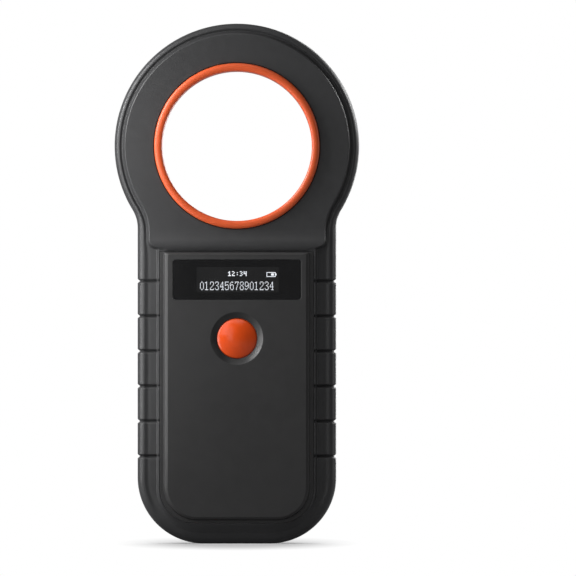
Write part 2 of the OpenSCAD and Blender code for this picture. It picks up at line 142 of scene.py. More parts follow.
def in_round_rect(x, z, half_w, z0, z1, r0, r1):
    """Distance inside a rectangle with round corners, r0 at its foot and r1 at its head."""
    side, mid, half_h = np.abs(x), (z0 + z1) / 2, (z1 - z0) / 2
    r = np.where(z < mid, r0, r1)
    dx, dz = side - (half_w - r), np.abs(z - mid) - (half_h - r)
    outside = np.hypot(np.maximum(dx, 0), np.maximum(dz, 0))
    return r - outside - np.minimum(np.maximum(dx, dz), 0)


def in_poly(poly, x, y):
    inside = np.zeros(len(x), bool)
    for i in range(len(poly)):
        x0, y0 = poly[i - 1]
        x1, y1 = poly[i]
        spans = (y0 > y) != (y1 > y)
        inside ^= spans & (x < (x1 - x0) * (y - y0) / (y1 - y0 if y1 != y0 else 1) + x0)
    return inside


def unit_circle(segments):
    angle = np.arange(segments) * 2 * math.pi / segments
    return np.cos(angle), np.sin(angle)


def circle(x, z, r, segments):
    cos, sin = unit_circle(segments)
    return np.stack([x + r * cos, z + r * sin], 1)


def round_rect(half_w, z0, z1, r0, r1, steps, side_zs=()):
    """Loop round a rectangle with corner radii r0 at its foot and r1 at its head, from the
    foot's right corner up. side_zs adds points on both sides."""
    def corner(x, z, r, start):
        angles = [start + math.pi / 2 * k / steps for k in range(steps + 1)]
        return [(x + r * math.cos(a), z + r * math.sin(a)) for a in angles]
    return np.array(
        corner(half_w - r0, z0 + r0, r0, -math.pi / 2)
        + [(half_w, z) for z in side_zs]
        + corner(half_w - r1, z1 - r1, r1, 0.0)
        + corner(-(half_w - r1), z1 - r1, r1, math.pi / 2)
        + [(-half_w, z) for z in side_zs[::-1]]
        + corner(-(half_w - r0), z0 + r0, r0, math.pi))


def window_loop(half_w, half_h, r, inset=0.0, steps=8):
    """Round-cornered loop centred on the display window, moved in by inset."""
    return round_rect(half_w - inset, WINDOW_Z - half_h + inset, WINDOW_Z + half_h - inset,
                      r - inset, r - inset, steps)


def u_loop(half_w, z0, r):
    """Down the right side of a round-cornered frame from CORNER_R, along its foot and up."""
    right = [(half_w, CORNER_R)]
    for k in range(25):
        a = -math.pi / 2 * k / 24
        right.append((half_w - r + r * math.cos(a), z0 + r + r * math.sin(a)))
    return right + [(x, z0) for x in (6, 0, -6)] + [(-x, z) for x, z in right[::-1]]


def arch(start, centre, r, steps, top):
    """From start up over a right corner, along the points of top and down the left side."""
    def corner(a0, a1, side):
        return [(side * (centre[0] + r * math.cos(a)), centre[1] + r * math.sin(a))
                for a in np.linspace(a0, a1, steps)]
    return ([start] + corner(0, math.pi / 2, 1) + top + corner(math.pi / 2, 0, -1)
            + [(-start[0], start[1])])


# ---- the outline ----------------------------------------------------------------
def outline():
    """Columns of (x, z, outward x, outward z), from the middle of the foot up the right
    side, over the head and down the left side."""
    right = [(x, 0.0, 0.0, -1.0)
             for x in (0, 2.2, CUT_FRONT_X, CUT_X, CUT_REAR_X, 5.6, 7.0)]
    for k in range(33):
        a = -math.pi / 2 + math.pi / 2 * k / 32
        right.append((HALF_W - CORNER_R + CORNER_R * math.cos(a),
                      CORNER_R + CORNER_R * math.sin(a), math.cos(a), math.sin(a)))
    heights = {CORNER_R, FRONT_SPLIT_Z, REAR_SPLIT_Z, round(NECK_Z, 6)}
    for z in GROOVES:
        for step in (0, .03, .07, .14, .22, .31, .40, .49, .56, .62, .7, .95, 1.3):
            heights.add(round(z + step, 6))
            heights.add(round(z - step, 6))
    heights = sorted(heights)
    for low, high in zip(heights, heights[1:]):
        count = max(1, math.ceil((high - low) / 2.4))
        for k in range(1, count + 1):
            right.append((HALF_W, low + (high - low) * k / count, 1.0, 0.0))
    for k in range(1, 17):
        a = math.pi - SWEEP * k / 16
        right.append((NECK_X + NECK_R * math.cos(a), NECK_Z + NECK_R * math.sin(a),
                      -math.cos(a), -math.sin(a)))
    for k in range(1, 91):
        a = -SWEEP + (math.pi / 2 + SWEEP) * k / 90
        right.append((HEAD_R * math.cos(a), HEAD_Z + HEAD_R * math.sin(a),
                      math.cos(a), math.sin(a)))
    left = [(-x, z, -nx, nz) for x, z, nx, nz in right[1:-1]][::-1]
    return np.array(right + left)


OUTLINE = outline()
COLUMNS = len(OUTLINE)
OUT_X, OUT_Z, OUT_NX, OUT_NZ = OUTLINE.T
OUTWARD = xyz(OUT_NX, 0.0, OUT_NZ)
BOTTOM = np.abs(OUT_Z) < 1e-9       # columns of the flat bottom edge
SIDE_Z_FRONT = sorted(set(round(z, 6) for x, z, nx, nz in OUTLINE
                          if nx == 1.0 and CORNER_R - 1e-9 <= z <= FRONT_SPLIT_Z + 1e-9))
SIDE_Z_REAR = [z for z in SIDE_Z_FRONT if z <= REAR_SPLIT_Z + 1e-9]


def offset(t):
    """The outline moved in by t, a number or one value for each column."""
    return np.stack([OUT_X - OUT_NX * t, OUT_Z - OUT_NZ * t], 1)


def inset(x, z):
    """Distance in from the outline."""
    side = np.abs(x)
    head = HEAD_R - np.hypot(side, z - HEAD_Z)
    fillet = np.hypot(side - NECK_X, z - NECK_Z) - NECK_R
    corner = CORNER_R - np.hypot(side - (HALF_W - CORNER_R), z - CORNER_R)
    foot = np.where(side > HALF_W - CORNER_R, corner, z)
    body = np.where(z > CORNER_R, HALF_W - side, foot)
    return np.where(z >= HEAD_Z - side * NECK_DROP / NECK_X, head,
                    np.where(z > NECK_Z, fillet, body))


def groove(z):
    depth = 0.0
    for groove_z in GROOVES:
        v = np.clip(np.abs(z - groove_z) / GROOVE_HALF_W, 0, 1)
        depth = depth + GROOVE_D * (1 - v) ** 1.2
    return depth


GROOVE_CUT = groove(OUT_Z) * (np.abs(OUT_X) > 20) * (OUT_Z > 18)


def outline_part(loop, z, top):
    """The part of an offset outline above (top) or below the height z, in order."""
    def cross(side):
        return next(k for k in range(len(loop))
                    if side * loop[k][0] > 0 and abs(loop[k][1] - z) < 1e-6)
    right, left = cross(1), cross(-1)
    if top:
        return loop[right:left + 1]
    return np.concatenate([loop[left:], loop[:right + 1]])


def head_points(insets):
    """Every other column of the head's outline at each inset."""
    points = []
    for t in insets:
        points += offset(t)[::2][OUT_Z[::2] > 96].tolist()
    return points


# ---- mesh builder ---------------------------------------------------------------
class Skin:
    """Faces with a normal at each corner; one closed mesh at the end."""

    def __init__(self):
        self.points, self.normals, self.faces, self.count = [], [], [], 0

    def add(self, points, normals, faces):
        points = np.asarray(points, float).reshape(-1, 3)
        self.points.append(points)
        self.normals.append(np.asarray(normals, float).reshape(-1, 3))
        self.faces += [tuple(self.count + i for i in face) for face in faces]
        self.count += len(points)

    def grid(self, points, normals=None, closed=True, skip=None):
        """points[row][column] is a point. Normals are taken from the grid if not given,
        and skip(column) leaves a strip of faces out."""
        rows, columns = points.shape[:2]
        if normals is None:
            normals = grid_normals(points, closed)
        faces = []
        for j in range(rows - 1):
            for k in range(columns if closed else columns - 1):
                if skip is not None and skip(k):
                    continue
                here, above = j * columns, (j + 1) * columns
                k2 = (k + 1) % columns
                faces.append((here + k, here + k2, above + k2, above + k))
        self.add(points, normals, faces)

    def flat(self, points, normal, faces):
        self.add(points, np.broadcast_to(np.array(normal, float), (len(points), 3)), faces)

    def turn_over(self):
        """Makes depth grow towards the rear."""
        flip = np.array([1, -1, 1])
        self.points = [p * flip for p in self.points]
        self.normals = [n * flip for n in self.normals]

    def build(self, name):
        points, normals = np.concatenate(self.points), np.concatenate(self.normals)
        length = np.linalg.norm(normals, axis=1, keepdims=True)
        normals = normals / np.where(length < 1e-12, 1, length)
        # points within a micron become one vertex
        key = np.round(points * 1000).astype(np.int64)
        _, first, vertex = np.unique(key, axis=0, return_index=True, return_inverse=True)
        vertex = vertex.reshape(-1)
        faces, corner_normals = [], []
        for face in self.faces:
            ids = [vertex[i] for i in face]
            keep = [i for i in range(len(face)) if ids[i] != ids[i - 1]]
            if len(keep) < 3 or len(set(ids[i] for i in keep)) < len(keep):
                continue
            corners = [face[i] for i in keep]
            turn = np.zeros(3)
            for i in range(len(corners)):
                turn += np.cross(points[corners[i - 1]], points[corners[i]])
            if np.linalg.norm(turn) < 1e-9:
                continue
            if np.dot(turn, sum(normals[i] for i in corners)) < 0:
                corners = corners[::-1]
            # depth is minus y, so the order turns over once more
            corners = corners[::-1]
            faces.append([int(vertex[i]) for i in corners])
            corner_normals += [(normals[i][0], -normals[i][1], normals[i][2])
                               for i in corners]
        verts = points[first]
        verts = np.stack([verts[:, 0], -verts[:, 1], verts[:, 2]], 1) * 0.001
        mesh = bpy.data.meshes.new(name)
        mesh.from_pydata(verts.tolist(), [], faces)
        mesh.update()
        mesh.polygons.foreach_set("use_smooth", [True] * len(mesh.polygons))
        mesh.normals_split_custom_set(corner_normals)
        return new_object(name, mesh)


def new_object(name, data):
    ob = bpy.data.objects.new(name, data)
    bpy.context.scene.collection.objects.link(ob)
    return ob


def grid_normals(points, closed):
    along = np.empty_like(points)
    along[1:-1] = points[2:] - points[:-2]
    along[0], along[-1] = points[1] - points[0], points[-1] - points[-2]
    if closed:
        across = np.roll(points, -1, 1) - np.roll(points, 1, 1)
    else:
        across = np.empty_like(points)
        across[:, 1:-1] = points[:, 2:] - points[:, :-2]
        across[:, 0] = points[:, 1] - points[:, 0]
        across[:, -1] = points[:, -1] - points[:, -2]
    normals = np.cross(along, across)
    length = np.linalg.norm(normals, axis=2, keepdims=True)
    return normals / np.where(length < 1e-15, 1, length)


def normals_along(points, reference):
    """Grid normals, each turned to the side of its reference direction."""
    normals = grid_normals(points, True)
    return np.where(np.sum(normals * reference, 2, keepdims=True) < 0, -normals, normals)


def normals_toward(points, centre, closed=True):
    """Grid normals, turned all together to face a point."""
    normals = grid_normals(points, closed)
    if np.sum(normals * (points - np.array(centre))) > 0:
        normals = -normals
    return normals


def fill(polylines, points, inside):
    """Triangles over a flat region. polylines is a list of (points, closed), all kept as
    edges, and inside(x, y) picks the triangles by their centres."""
    coords, edges = [], []
    for line, closed in polylines:
        start, count = len(coords), len(line)
        coords += [(float(a), float(b)) for a, b in line]
        edges += [(start + k, start + k + 1) for k in range(count - 1)]
        if closed:
            edges.append((start + count - 1, start))
    coords += [(float(a), float(b)) for a, b in points]
    verts, _, faces, origins, _, _ = delaunay_2d_cdt(
        [Vector(c) for c in coords], edges, [], 0, 2e-4)
    flat = np.array([coords[o[0]] if o else (v.x, v.y) for v, o in zip(verts, origins)])
    faces = np.array([list(f) for f in faces])
    centres = flat[faces].mean(1)
    return flat, faces[inside(centres[:, 0], centres[:, 1])]


def fill_region(outer, holes=(), creases=()):
    """Triangles inside a loop and outside its holes. creases are open lines kept as edges."""
    def inside(x, y):
        ok = in_poly(outer, x, y)
        for hole in holes:
            ok &= ~in_poly(hole, x, y)
        return ok
    closed = [(outer, True)] + [(hole, True) for hole in holes]
    return fill(closed + [(line, False) for line in creases], [], inside)


def flat_region(skin, outer, holes, depth, facing):
    """A flat sheet at one depth, facing 1 towards growing depth or -1 against it."""
    flat, faces = fill_region(outer, holes)
    skin.flat(lift(flat, depth), (0, facing, 0), faces)


def slope_normals(x, z, depth_at):
    e = 0.004
    slope_x = (depth_at(x + e, z) - depth_at(x - e, z)) / (2 * e)
    slope_z = (depth_at(x, z + e) - depth_at(x, z - e)) / (2 * e)
    return xyz(-slope_x, 1.0, -slope_z)


def add_field(skin, flat, faces, depth_at, facing=1):
    """A triangulated sheet at depth_at(x, z), with normals from its slope."""
    x, z = flat.T
    skin.add(xyz(x, depth_at(x, z), z), slope_normals(x, z, depth_at) * facing, faces)


def lathe(skin, x, z, profile, segments, hand=1):
    """Turns a profile about an axis along depth through (x, z). Its points are (radius,
    depth), with a third value of 1 where the surface runs on smoothly. Normals lie to the
    right of the profile's path, with radius drawn across and depth up; hand -1 puts them
    to its left."""
    cos, sin = unit_circle(segments)
    profile = [tuple(p) + (0,) * (3 - len(p)) for p in profile]
    run = [profile[0]]
    for point in profile[1:]:
        run.append(point)
        if point[2]:
            continue
        radius = np.array([p[0] for p in run], float)
        depth = np.array([p[1] for p in run], float)
        out = (hand * np.gradient(depth))[:, None]
        up = (-hand * np.gradient(radius))[:, None]
        radius = radius[:, None]
        skin.grid(xyz(x + radius * cos, depth[:, None], z + radius * sin),
                  xyz(out * cos, up, out * sin))
        run = [point]


def bands(skin, rows):
    """Walls between loops with equal counts. rows are (loop, depth), with a third value of
    1 where the surface runs on smoothly."""
    points = np.stack([lift(loop, depth) for loop, depth, *_ in rows])
    start = 0
    for k in range(1, len(rows)):
        if len(rows[k]) == 2:
            skin.grid(points[start:k + 1])
            start = k


# ---- what both shells share -----------------------------------------------------
def port_cut(front):
    """Outline of the port's cut in one shell, from right to left, as (x, depth)."""
    def corner(depth, degrees):
        angles = [math.radians(a) for a in degrees]
        return [(CUT_HW - CUT_R + CUT_R * math.cos(a), depth + CUT_R * math.sin(a))
                for a in angles]
    if front:
        right = [(CUT_X, 0.0), (CUT_FRONT_X, CHAMFER)]
        right += corner(CUT_FRONT_D - CUT_R, (56, 67, 79, 90))
    else:
        right = [(CUT_X, 0.0), (CUT_REAR_X, CHAMFER)]
        right += corner(0.83, (-8, 0))
        right += corner(CUT_REAR_D - CUT_R, (0, 15, 30, 45, 60, 75, 90))
    return right + [(-x, d) for x, d in right[::-1]]


def on_bottom(k, reach=math.inf):
    """Whether the strip after column k lies on the bottom edge, within reach of the middle."""
    k2 = (k + 1) % COLUMNS
    return BOTTOM[k] and BOTTOM[k2] and max(abs(OUT_X[k]), abs(OUT_X[k2])) <= reach + 1e-6


def bottom_wall(skin, cut, z, depths, facing):
    """The flat bottom wall at height z, with the port's cut in its edge at depths[0]."""
    columns = sorted(OUT_X[BOTTOM])
    start = depths[0]
    notch = [p for p in cut if p[1] >= start - 1e-9]
    edge_x = notch[0][0]
    ring = [(x, start) for x in columns if x <= -edge_x + 1e-9]
    ring += notch[::-1][1:-1]
    ring += [(x, start) for x in columns if x >= edge_x - 1e-9]
    ring += [(columns[-1], d) for d in depths[1:]]
    ring += [(x, depths[-1]) for x in columns[::-1][1:]]
    ring += [(columns[0], d) for d in depths[::-1][1:-1]]
    flat, faces = fill_region(ring)
    skin.flat(xyz(flat[:, 0], flat[:, 1], z), (0, 0, facing), faces)


def shell_outside(skin, cut, wall_depths, profile, depth_at):
    """Chamfer, wall and rounded rim, out to the edge of the face, which is returned.
    profile rows are (inset, depth, share of the normal outward, share along depth)."""
    # chamfer along the parting line
    reach = max(CUT_X, cut[1][0])
    chamfer = np.stack([lift(offset(CHAMFER + GROOVE_CUT), 0.0),
                        lift(offset(GROOVE_CUT), CHAMFER)])
    slant = xyz(OUT_NX * .7, -.7, OUT_NZ * .7)
    skin.grid(chamfer, np.broadcast_to(slant, chamfer.shape),
              skip=lambda k: on_bottom(k, reach))
    # its ends beside the cut: two of the four corners meet, which leaves a triangle
    for s in (-1, 1):
        end = [(s * CUT_X, 0, CHAMFER), (s * reach, 0, CHAMFER),
               (s * reach, CHAMFER, 0), (s * cut[1][0], CHAMFER, 0)]
        skin.flat(end, (0, -.7, -.7), [(0, 1, 2, 3)])
    # straight wall
    points = np.stack([lift(offset(GROOVE_CUT), d) for d in wall_depths])
    normals = normals_along(points, OUTWARD)
    normals[:, BOTTOM] = (0, 0, -1)
    skin.grid(points, normals, skip=on_bottom)
    bottom_wall(skin, cut, 0.0, wall_depths, -1)
    # rounded rim
    points = np.stack([lift(offset(t + GROOVE_CUT * out), d - GROOVE_CUT * up)
                       for t, d, out, up in profile])
    points[-1, :, 1] = depth_at(points[-1, :, 0], points[-1, :, 2])
    reference = np.stack([xyz(OUT_NX * out, up, OUT_NZ * out) for _, _, out, up in profile])
    skin.grid(points, normals_along(points, reference))
    return points[-1][:, [0, 2]]


def shell_inside(skin, cut, cut_depth, ceiling, holes, creases=()):
    """Parting face, cavity walls, the port's cut, ceiling and the head's collar."""
    cavity = offset(CAVITY_INSET)
    parting = np.stack([lift(offset(CHAMFER + GROOVE_CUT), 0.0), lift(cavity, 0.0)])
    skin.grid(parting, np.broadcast_to((0, -1.0, 0), parting.shape),
              skip=lambda k: on_bottom(k, CUT_X))
    depths = ceiling(cavity[:, 0], cavity[:, 1])
    skin.grid(np.stack([lift(cavity, 0.0), lift(cavity, depths)]),
              np.stack([-OUTWARD, -OUTWARD]), skip=on_bottom)
    bottom_wall(skin, cut, CAVITY_INSET, [0.0, float(depths[0])], 1)
    # sides of the port's cut
    points = np.array([[(x, d, max(0.0, CHAMFER - d)) for x, d in cut],
                       [(x, d, CAVITY_INSET) for x, d in cut]])
    skin.grid(points, normals_toward(points, (0, cut_depth, 1.0), closed=False),
              closed=False)
    # ceiling
    holes = [circle(0, HEAD_Z, COLLAR_R, RING_SEGMENTS)] + holes
    flat, faces = fill_region(cavity, holes, creases)
    add_field(skin, flat, faces, ceiling, facing=-1)
    # collar round the head's opening
    top = float(ceiling(COLLAR_R, HEAD_Z))
    lathe(skin, 0, HEAD_Z, [(HOLE_R, 0.0), (COLLAR_R, 0.0), (COLLAR_R, top)], RING_SEGMENTS)


def side_strips(skin, strip_xs, heights, depth_at, brink=None):
    """Regular grids down the two straight sides of a face. Normals at x = brink are tilted
    outward."""
    for s in (-1, 1):
        x, z = np.meshgrid(np.array(strip_xs) * s, np.array(heights))
        normals = slope_normals(x, z, depth_at)
        if brink is not None:
            normals[np.abs(np.abs(x) - brink) < 1e-6, 0] = s * 1.5
        skin.grid(xyz(x, depth_at(x, z), z), normals, closed=False)


# ---- front shell: shape of the face ---------------------------------------------
def rim_width(z):
    return 1.85 - 0.1 * smooth_step(80.2, 83.6, z) - 0.4 * smooth_step(86.0, 92.0, z)


def valley_width(z):
    """Width of the fall between the rim's round and the face."""
    return 1.0 - 0.35 * smooth_step(80.2, 83.6, z) - 0.05 * smooth_step(86.0, 92.0, z)


def foot_share(sine):
    """How far the rim has turned into the foot's slope, from the sine of the outline's turn."""
    return smooth_step(0.3, 0.95, sine)


def foot(x, z):
    dx = np.maximum(np.abs(x) - (HALF_W - CORNER_R), 0)
    dz = np.maximum(CORNER_R - z, 0)
    return foot_share(dz / np.maximum(np.hypot(dx, dz), 1e-9))


def brow_inset(z):
    """Inset of the raised head's edge."""
    return 2.6 + 0.3 * (1 - smooth_step(86.0, 92.0, z))


def brow_z(side):
    """Height of the raised head's lower edge, at a distance from the middle."""
    return 81.3 + 0.3 * smooth_step(19.3, 20.4, side) + 0.3 * smooth_step(21.3, 23.3, side)


def in_brow(dx, dz):
    """Distance inside the raised head's round corner, from those inside its two edges."""
    return BROW_R - np.hypot(np.maximum(BROW_R - dx, 0), np.maximum(BROW_R - dz, 0))


def brow_depth(z):
    """Depth of the head's face: level, rising to a crest over the panel, rolling down to it."""
    depth = 9.4 + 0.3 / 4.8 ** 1.5 * np.clip(89.0 - z, 0, 4.8) ** 2.5 / 2.5
    crest = np.clip(84.2 - z, 0, 1.5)
    return depth + 0.3 * crest - 0.1 * crest * crest - 0.22 * np.clip(82.7 - z, 0, 1.8) ** 2


def front_depth(x, z):
    side = np.abs(x)
    edge = inset(x, z)
    # face between the rim and the frame
    past_rim = edge - (rim_width(z) + valley_width(z))
    head = smooth_step(84.0, 90.0, z)
    base = (8.35 - 0.13 - 0.17 * head + (0.05 + 0.25 * head) * smooth_step(0, 0.8, past_rim)
            + 0.06 * np.clip(past_rim - 0.5, 0, 3))
    # frame round the recess
    in_frame = in_round_rect(x, z, *FRAME)
    framed = smooth_step(-0.35, 0.35, in_frame) * (1 - smooth_step(81.6, 83.2, z))
    low = base + (FRAME_D - base) * framed
    # slope of the foot
    slope = 8.42 + 0.47 * (edge - 2.85)
    slope = (0.5 * (slope + FRAME_D - np.sqrt((slope - FRAME_D) ** 2 + 0.02))
             + 0.01 * smooth_step(0.1, 0.6, in_frame))
    low = low + (slope - low) * foot(x, z)
    # raised head, which takes the whole middle above the panel
    middle = (1 - smooth_step(19.3, 20.6, side)) * (z < 95) * (z > 70)
    raised = smooth_step(-0.45, 0.45, in_brow(edge - brow_inset(z), z - brow_z(side)))
    high = brow_depth(z)
    depth = low + (high - low) * raised
    depth = depth + (high - depth) * middle
    depth = depth - groove(z) * (side > 20)
    # small round along the recess
    lip = 0.13
    turn = np.clip(1 - -in_round_rect(x, z, *RECESS) / lip, 0, 0.97)
    return depth - lip * (1 - np.sqrt(1 - turn * turn))


def front_profile(z):
    """Rows of the rim: a quarter round, then the fall to the face."""
    width, fall = rim_width(z), valley_width(z)
    footed = foot_share(np.clip((CORNER_R - z) / CORNER_R, 0, 1))
    head = smooth_step(84.0, 90.0, z)
    rows = []
    for k in range(0, 11):
        a = math.pi / 2 * k / 10
        out, up = 2.45 * math.cos(a), 1.6 * math.sin(a)
        length = math.hypot(out, up)
        a_foot = a * 66 / 90
        t = width * (1 - math.cos(a)) * (1 - footed) + 2.7 * (1 - math.cos(a_foot)) * footed
        d = 2.45 * math.sin(a) * (1 - footed) + 2.3 * math.sin(a_foot) * footed
        rows.append((t, 5.9 + d, out / length, up / length))
    for k in range(1, 6):
        s = k / 5
        d = 8.35 - (0.13 + 0.17 * head) * (0.5 - 0.5 * math.cos(math.pi * s))
        d_foot = 8.0 + 0.34 * 1.25 * s
        t = (width + fall * s) * (1 - footed) + (1.6 + 1.25 * s) * footed
        rows.append((t, d * (1 - footed) + d_foot * footed, 0.0, 1.0))
    return rows


# ---- front shell: mesh ----------------------------------------------------------
# columns of the side strips, from the rim inward: rim, frame edge, lip of the recess
STRIP_RIM = [24.65, 24.58, 24.5, 24.4, 24.28, 24.15, 23.95, 23.5, 22.95, 22.45]
STRIP_FRAME = [FRAME_HW + v for v in (.35, .25, .15, .05, -.05, -.15, -.25, -.35)]
STRIP_LIP = [21.52, 21.43, 21.385, 21.34, 21.3]
FRONT_STRIP = STRIP_RIM + STRIP_FRAME + STRIP_LIP
SEAT_WALL_R = 23.09
SEAT_D = 8.9
DISPLAY_HOLE = window_loop(15.5, 6.5, 0.5, steps=4)
BUTTON_HOLE = circle(0, BUTTON_Z, 6.8, 48)


def strip_ends(strip_xs, z):
    return [([(s * x, z) for x in strip_xs], False) for s in (-1, 1)]


def recess_arch(out):
    """Upper edge of the recess, moved outward by out."""
    xs = (19.3, 16, 12, 8, 4, 0, -4, -8, -12, -16, -19.3)
    return arch((RECESS_HW + out, FRONT_SPLIT_Z), (RECESS_HW - RECESS_R1, RECESS_Z1 - RECESS_R1),
                RECESS_R1 + out, 7, [(x, RECESS_Z1 + out) for x in xs])


def brow_line(p):
    """Contour of the raised head, a distance p inside its edge."""
    loop = offset(brow_inset(OUT_Z) + p)
    loop = loop[(OUT_Z > 84.3) & (loop[:, 1] > 84.25)].tolist()
    corner = []
    for a in np.linspace(0, -math.pi / 2, 13):
        x = HALF_W - BROW_INSET - BROW_R + (BROW_R - p) * math.cos(a)
        corner.append((x, float(brow_z(x)) + BROW_R + (BROW_R - p) * math.sin(a)))
    tail = [(x, float(brow_z(x)) + p) for x in (22.3, 21.9, 21.5, 21.1, 20.8, 20.5, 20.2, 19.9, 19.6)]
    tail = [(x, z) for x, z in tail if z > 81.06]
    return tail[::-1] + corner[::-1] + loop + [(-x, z) for x, z in corner + tail]


def front_foot(skin, edge):
    polylines = [(outline_part(edge, CORNER_R, False), False)]
    for x in FRONT_STRIP[1:9]:
        polylines.append((outline_part(offset(HALF_W - x), CORNER_R, False), False))
    for x in FRONT_STRIP[9:]:
        inner = FRAME_HW - x
        polylines.append((u_loop(x, FRAME_Z0 + inner, FRAME_R - inner), False))
    polylines += strip_ends(FRONT_STRIP, CORNER_R)

    def inside(x, z):
        in_edge = inset(x, z) > 2.85 - 1e-3
        return (z < CORNER_R) & in_edge & (in_round_rect(x, z, *RECESS) < 0.004)
    flat, faces = fill(polylines, [], inside)
    add_field(skin, flat, faces, front_depth)


def front_head(skin, edge):
    rim = outline_part(edge, FRONT_SPLIT_Z, True)
    polylines = [(rim, False)] + strip_ends(FRONT_STRIP, FRONT_SPLIT_Z)
    for past in (0.07, 0.15):
        loop = offset(rim_width(OUT_Z) + valley_width(OUT_Z) + past)
        polylines.append((outline_part(loop, FRONT_SPLIT_Z, True), False))
    for out in (0.0, 0.04, 0.085, 0.13):
        polylines.append((recess_arch(out), False))
    for p in (-0.45, -0.34, -0.23, -0.12, 0.0, 0.12, 0.23, 0.34, 0.45, 0.6):
        polylines.append((brow_line(p), False))
    for z in (81.13, 81.25, 81.4, 81.55, 81.7, 81.85, 82.0, 82.2, 82.4, 82.6, 82.8, 83.0, 83.2):
        polylines.append(([(x, z) for x in np.linspace(-19.4, 19.4, 21)], False))
    polylines.append((circle(0, HEAD_Z, SEAT_R, RING_SEGMENTS), True))
    # loose points: the crest, the head, and the sides up to the raised edge
    points = [(x, z) for z in np.arange(83.5, 88.0, 0.5) for x in np.arange(-22, 22.1, 1.0)
              if math.hypot(x, z - HEAD_Z) > 23.6]
    points += head_points((3.6, 4.6, 6.2, 8.0, 9.6))
    for s in (-1, 1):
        for x in FRONT_STRIP[3:18]:
            for z in np.arange(80.25, 84.75, 0.25):
                if in_brow(HALF_W - x - BROW_INSET, z - float(brow_z(x))) > -0.55:
                    break
                points.append((s * x, z))

    def inside(x, z):
        return ((z > FRONT_SPLIT_Z) & in_poly(rim, x, z)
                & (in_round_rect(x, z, *RECESS) < 0.01)
                & (np.hypot(x, z - HEAD_Z) > SEAT_R - 0.002))
    flat, faces = fill(polylines, points, inside)
    add_field(skin, flat, faces, front_depth)


def ring_seat(skin):
    """The step round the head's opening that the trim ring's bead lies in."""
    cos, sin = unit_circle(RING_SEGMENTS)
    top = front_depth(SEAT_R * cos, HEAD_Z + SEAT_R * sin)
    # radius, depth from the face, normal inward, normal along depth
    rows = [(SEAT_R, 0, .1, 1), (23.17, -.02, .5, .9), (23.11, -.08, .85, .5),
            (SEAT_WALL_R, -.18, 1, 0)]
    points = np.stack([xyz(r * cos, top + d, HEAD_Z + r * sin) for r, d, _, _ in rows])
    skin.grid(points, np.stack([xyz(-n * cos, up, -n * sin) for _, _, n, up in rows]))
    wall = xyz(SEAT_WALL_R * cos, SEAT_D, HEAD_Z + SEAT_WALL_R * sin)
    skin.grid(np.stack([points[-1], wall]), np.stack([xyz(-cos, 0, -sin)] * 2))
    lathe(skin, 0, HEAD_Z, [(SEAT_WALL_R, SEAT_D), (HOLE_R, SEAT_D), (HOLE_R, 0.0)],
          RING_SEGMENTS)


def panel_recess(skin):
    loop = [(RECESS_HW, z) for z in SIDE_Z_FRONT]
    loop += recess_arch(0.0)[1:-1]
    loop += [(-RECESS_HW, z) for z in SIDE_Z_FRONT[::-1]]
    loop += u_loop(RECESS_HW, RECESS_Z0, RECESS_R0)[::-1][1:-1]
    loop = np.array(loop)
    tangent = np.roll(loop, -1, 0) - np.roll(loop, 1, 0)
    inward = np.stack([-tangent[:, 1], tangent[:, 0]], 1)
    inward /= np.linalg.norm(inward, axis=1, keepdims=True)
    brink = front_depth(loop[:, 0], loop[:, 1])
    skin.grid(np.stack([lift(loop, brink), lift(loop, RECESS_D)]),
              np.stack([lift(inward, 0.0)] * 2))
    flat_region(skin, loop, [DISPLAY_HOLE, BUTTON_HOLE], RECESS_D, 1)
    for hole, z in ((DISPLAY_HOLE, WINDOW_Z), (BUTTON_HOLE, BUTTON_Z)):
        points = np.stack([lift(hole, d) for d in (RECESS_D, FRONT_CEILING)])
        skin.grid(points, normals_toward(points, (0, 7.4, z)))


def make_front():
    skin = Skin()
    cut = port_cut(front=True)
    edge = shell_outside(skin, cut, (0.3, 0.9, 2.0, 3.4, 4.8, 5.5, 5.9),
                         front_profile(OUT_Z), front_depth)
    side_strips(skin, FRONT_STRIP, SIDE_Z_FRONT, front_depth, brink=RECESS_HW)
    front_foot(skin, edge)
    front_head(skin, edge)
    ring_seat(skin)
    panel_recess(skin)
    # screw posts: x, z, radius, depth of the open end, bore radius
    posts = [(x, z, 1.45 if z == UPPER_SCREW_Z else 2.6, 0.05, 1.02)
             for x, z in PAD_SCREWS + HEAD_SCREWS]
    posts += [(x, z, 2.2, 2.05, 0.92) for x, z in BOARD_SCREWS]
    holes = [circle(x, z, r, 32) for x, z, r, _, _ in posts]
    shell_inside(skin, cut, 0, lambda x, z: np.full(np.shape(x), FRONT_CEILING),
                 holes + [DISPLAY_HOLE, BUTTON_HOLE])
    for x, z, r, end, bore in posts:
        lathe(skin, x, z, [(r, FRONT_CEILING), (r, end), (bore, end), (bore, 6.0), (0.0, 6.0)],
              32, hand=-1)
    return skin.build("front_shell_moulding")


# ---- rear shell, with depth towards the rear ------------------------------------
REAR_STRIP = [24.9, 24.6, 24.2, 23.6, 22.9, 22.45, 22.35, 22.24, 22.12, 22.0, 21.9, 21.78,
              21.65, 21.55, 21.45, 21.35, 21.2]


def rear_depth(x, z):
    depth = REAR_D + PAD_RISE * smooth_step(-0.45, 0.45, in_round_rect(x, z, *PAD))
    in_label = in_round_rect(x, z, LABEL_HW, LABEL_Z0, LABEL_Z1, LABEL_R, LABEL_R)
    depth = depth - 0.25 * smooth_step(-0.07, 0.07, in_label)
    return depth - groove(z) * smooth_step(21.3, 22.1, np.abs(x))


def rear_profile():
    """Rows of the rim, a quarter round."""
    angles = [math.pi / 2 * k / 12 for k in range(13)]
    return [(2.6 * (1 - math.cos(a)), 7.4 + 2.6 * math.sin(a), math.cos(a), math.sin(a))
            for a in angles]


def rear_ceiling(x, z):
    return REAR_CEILING - 1.4 * np.clip((z - CEILING_SLOPE_Z[0]) / 1.1, 0, 1)


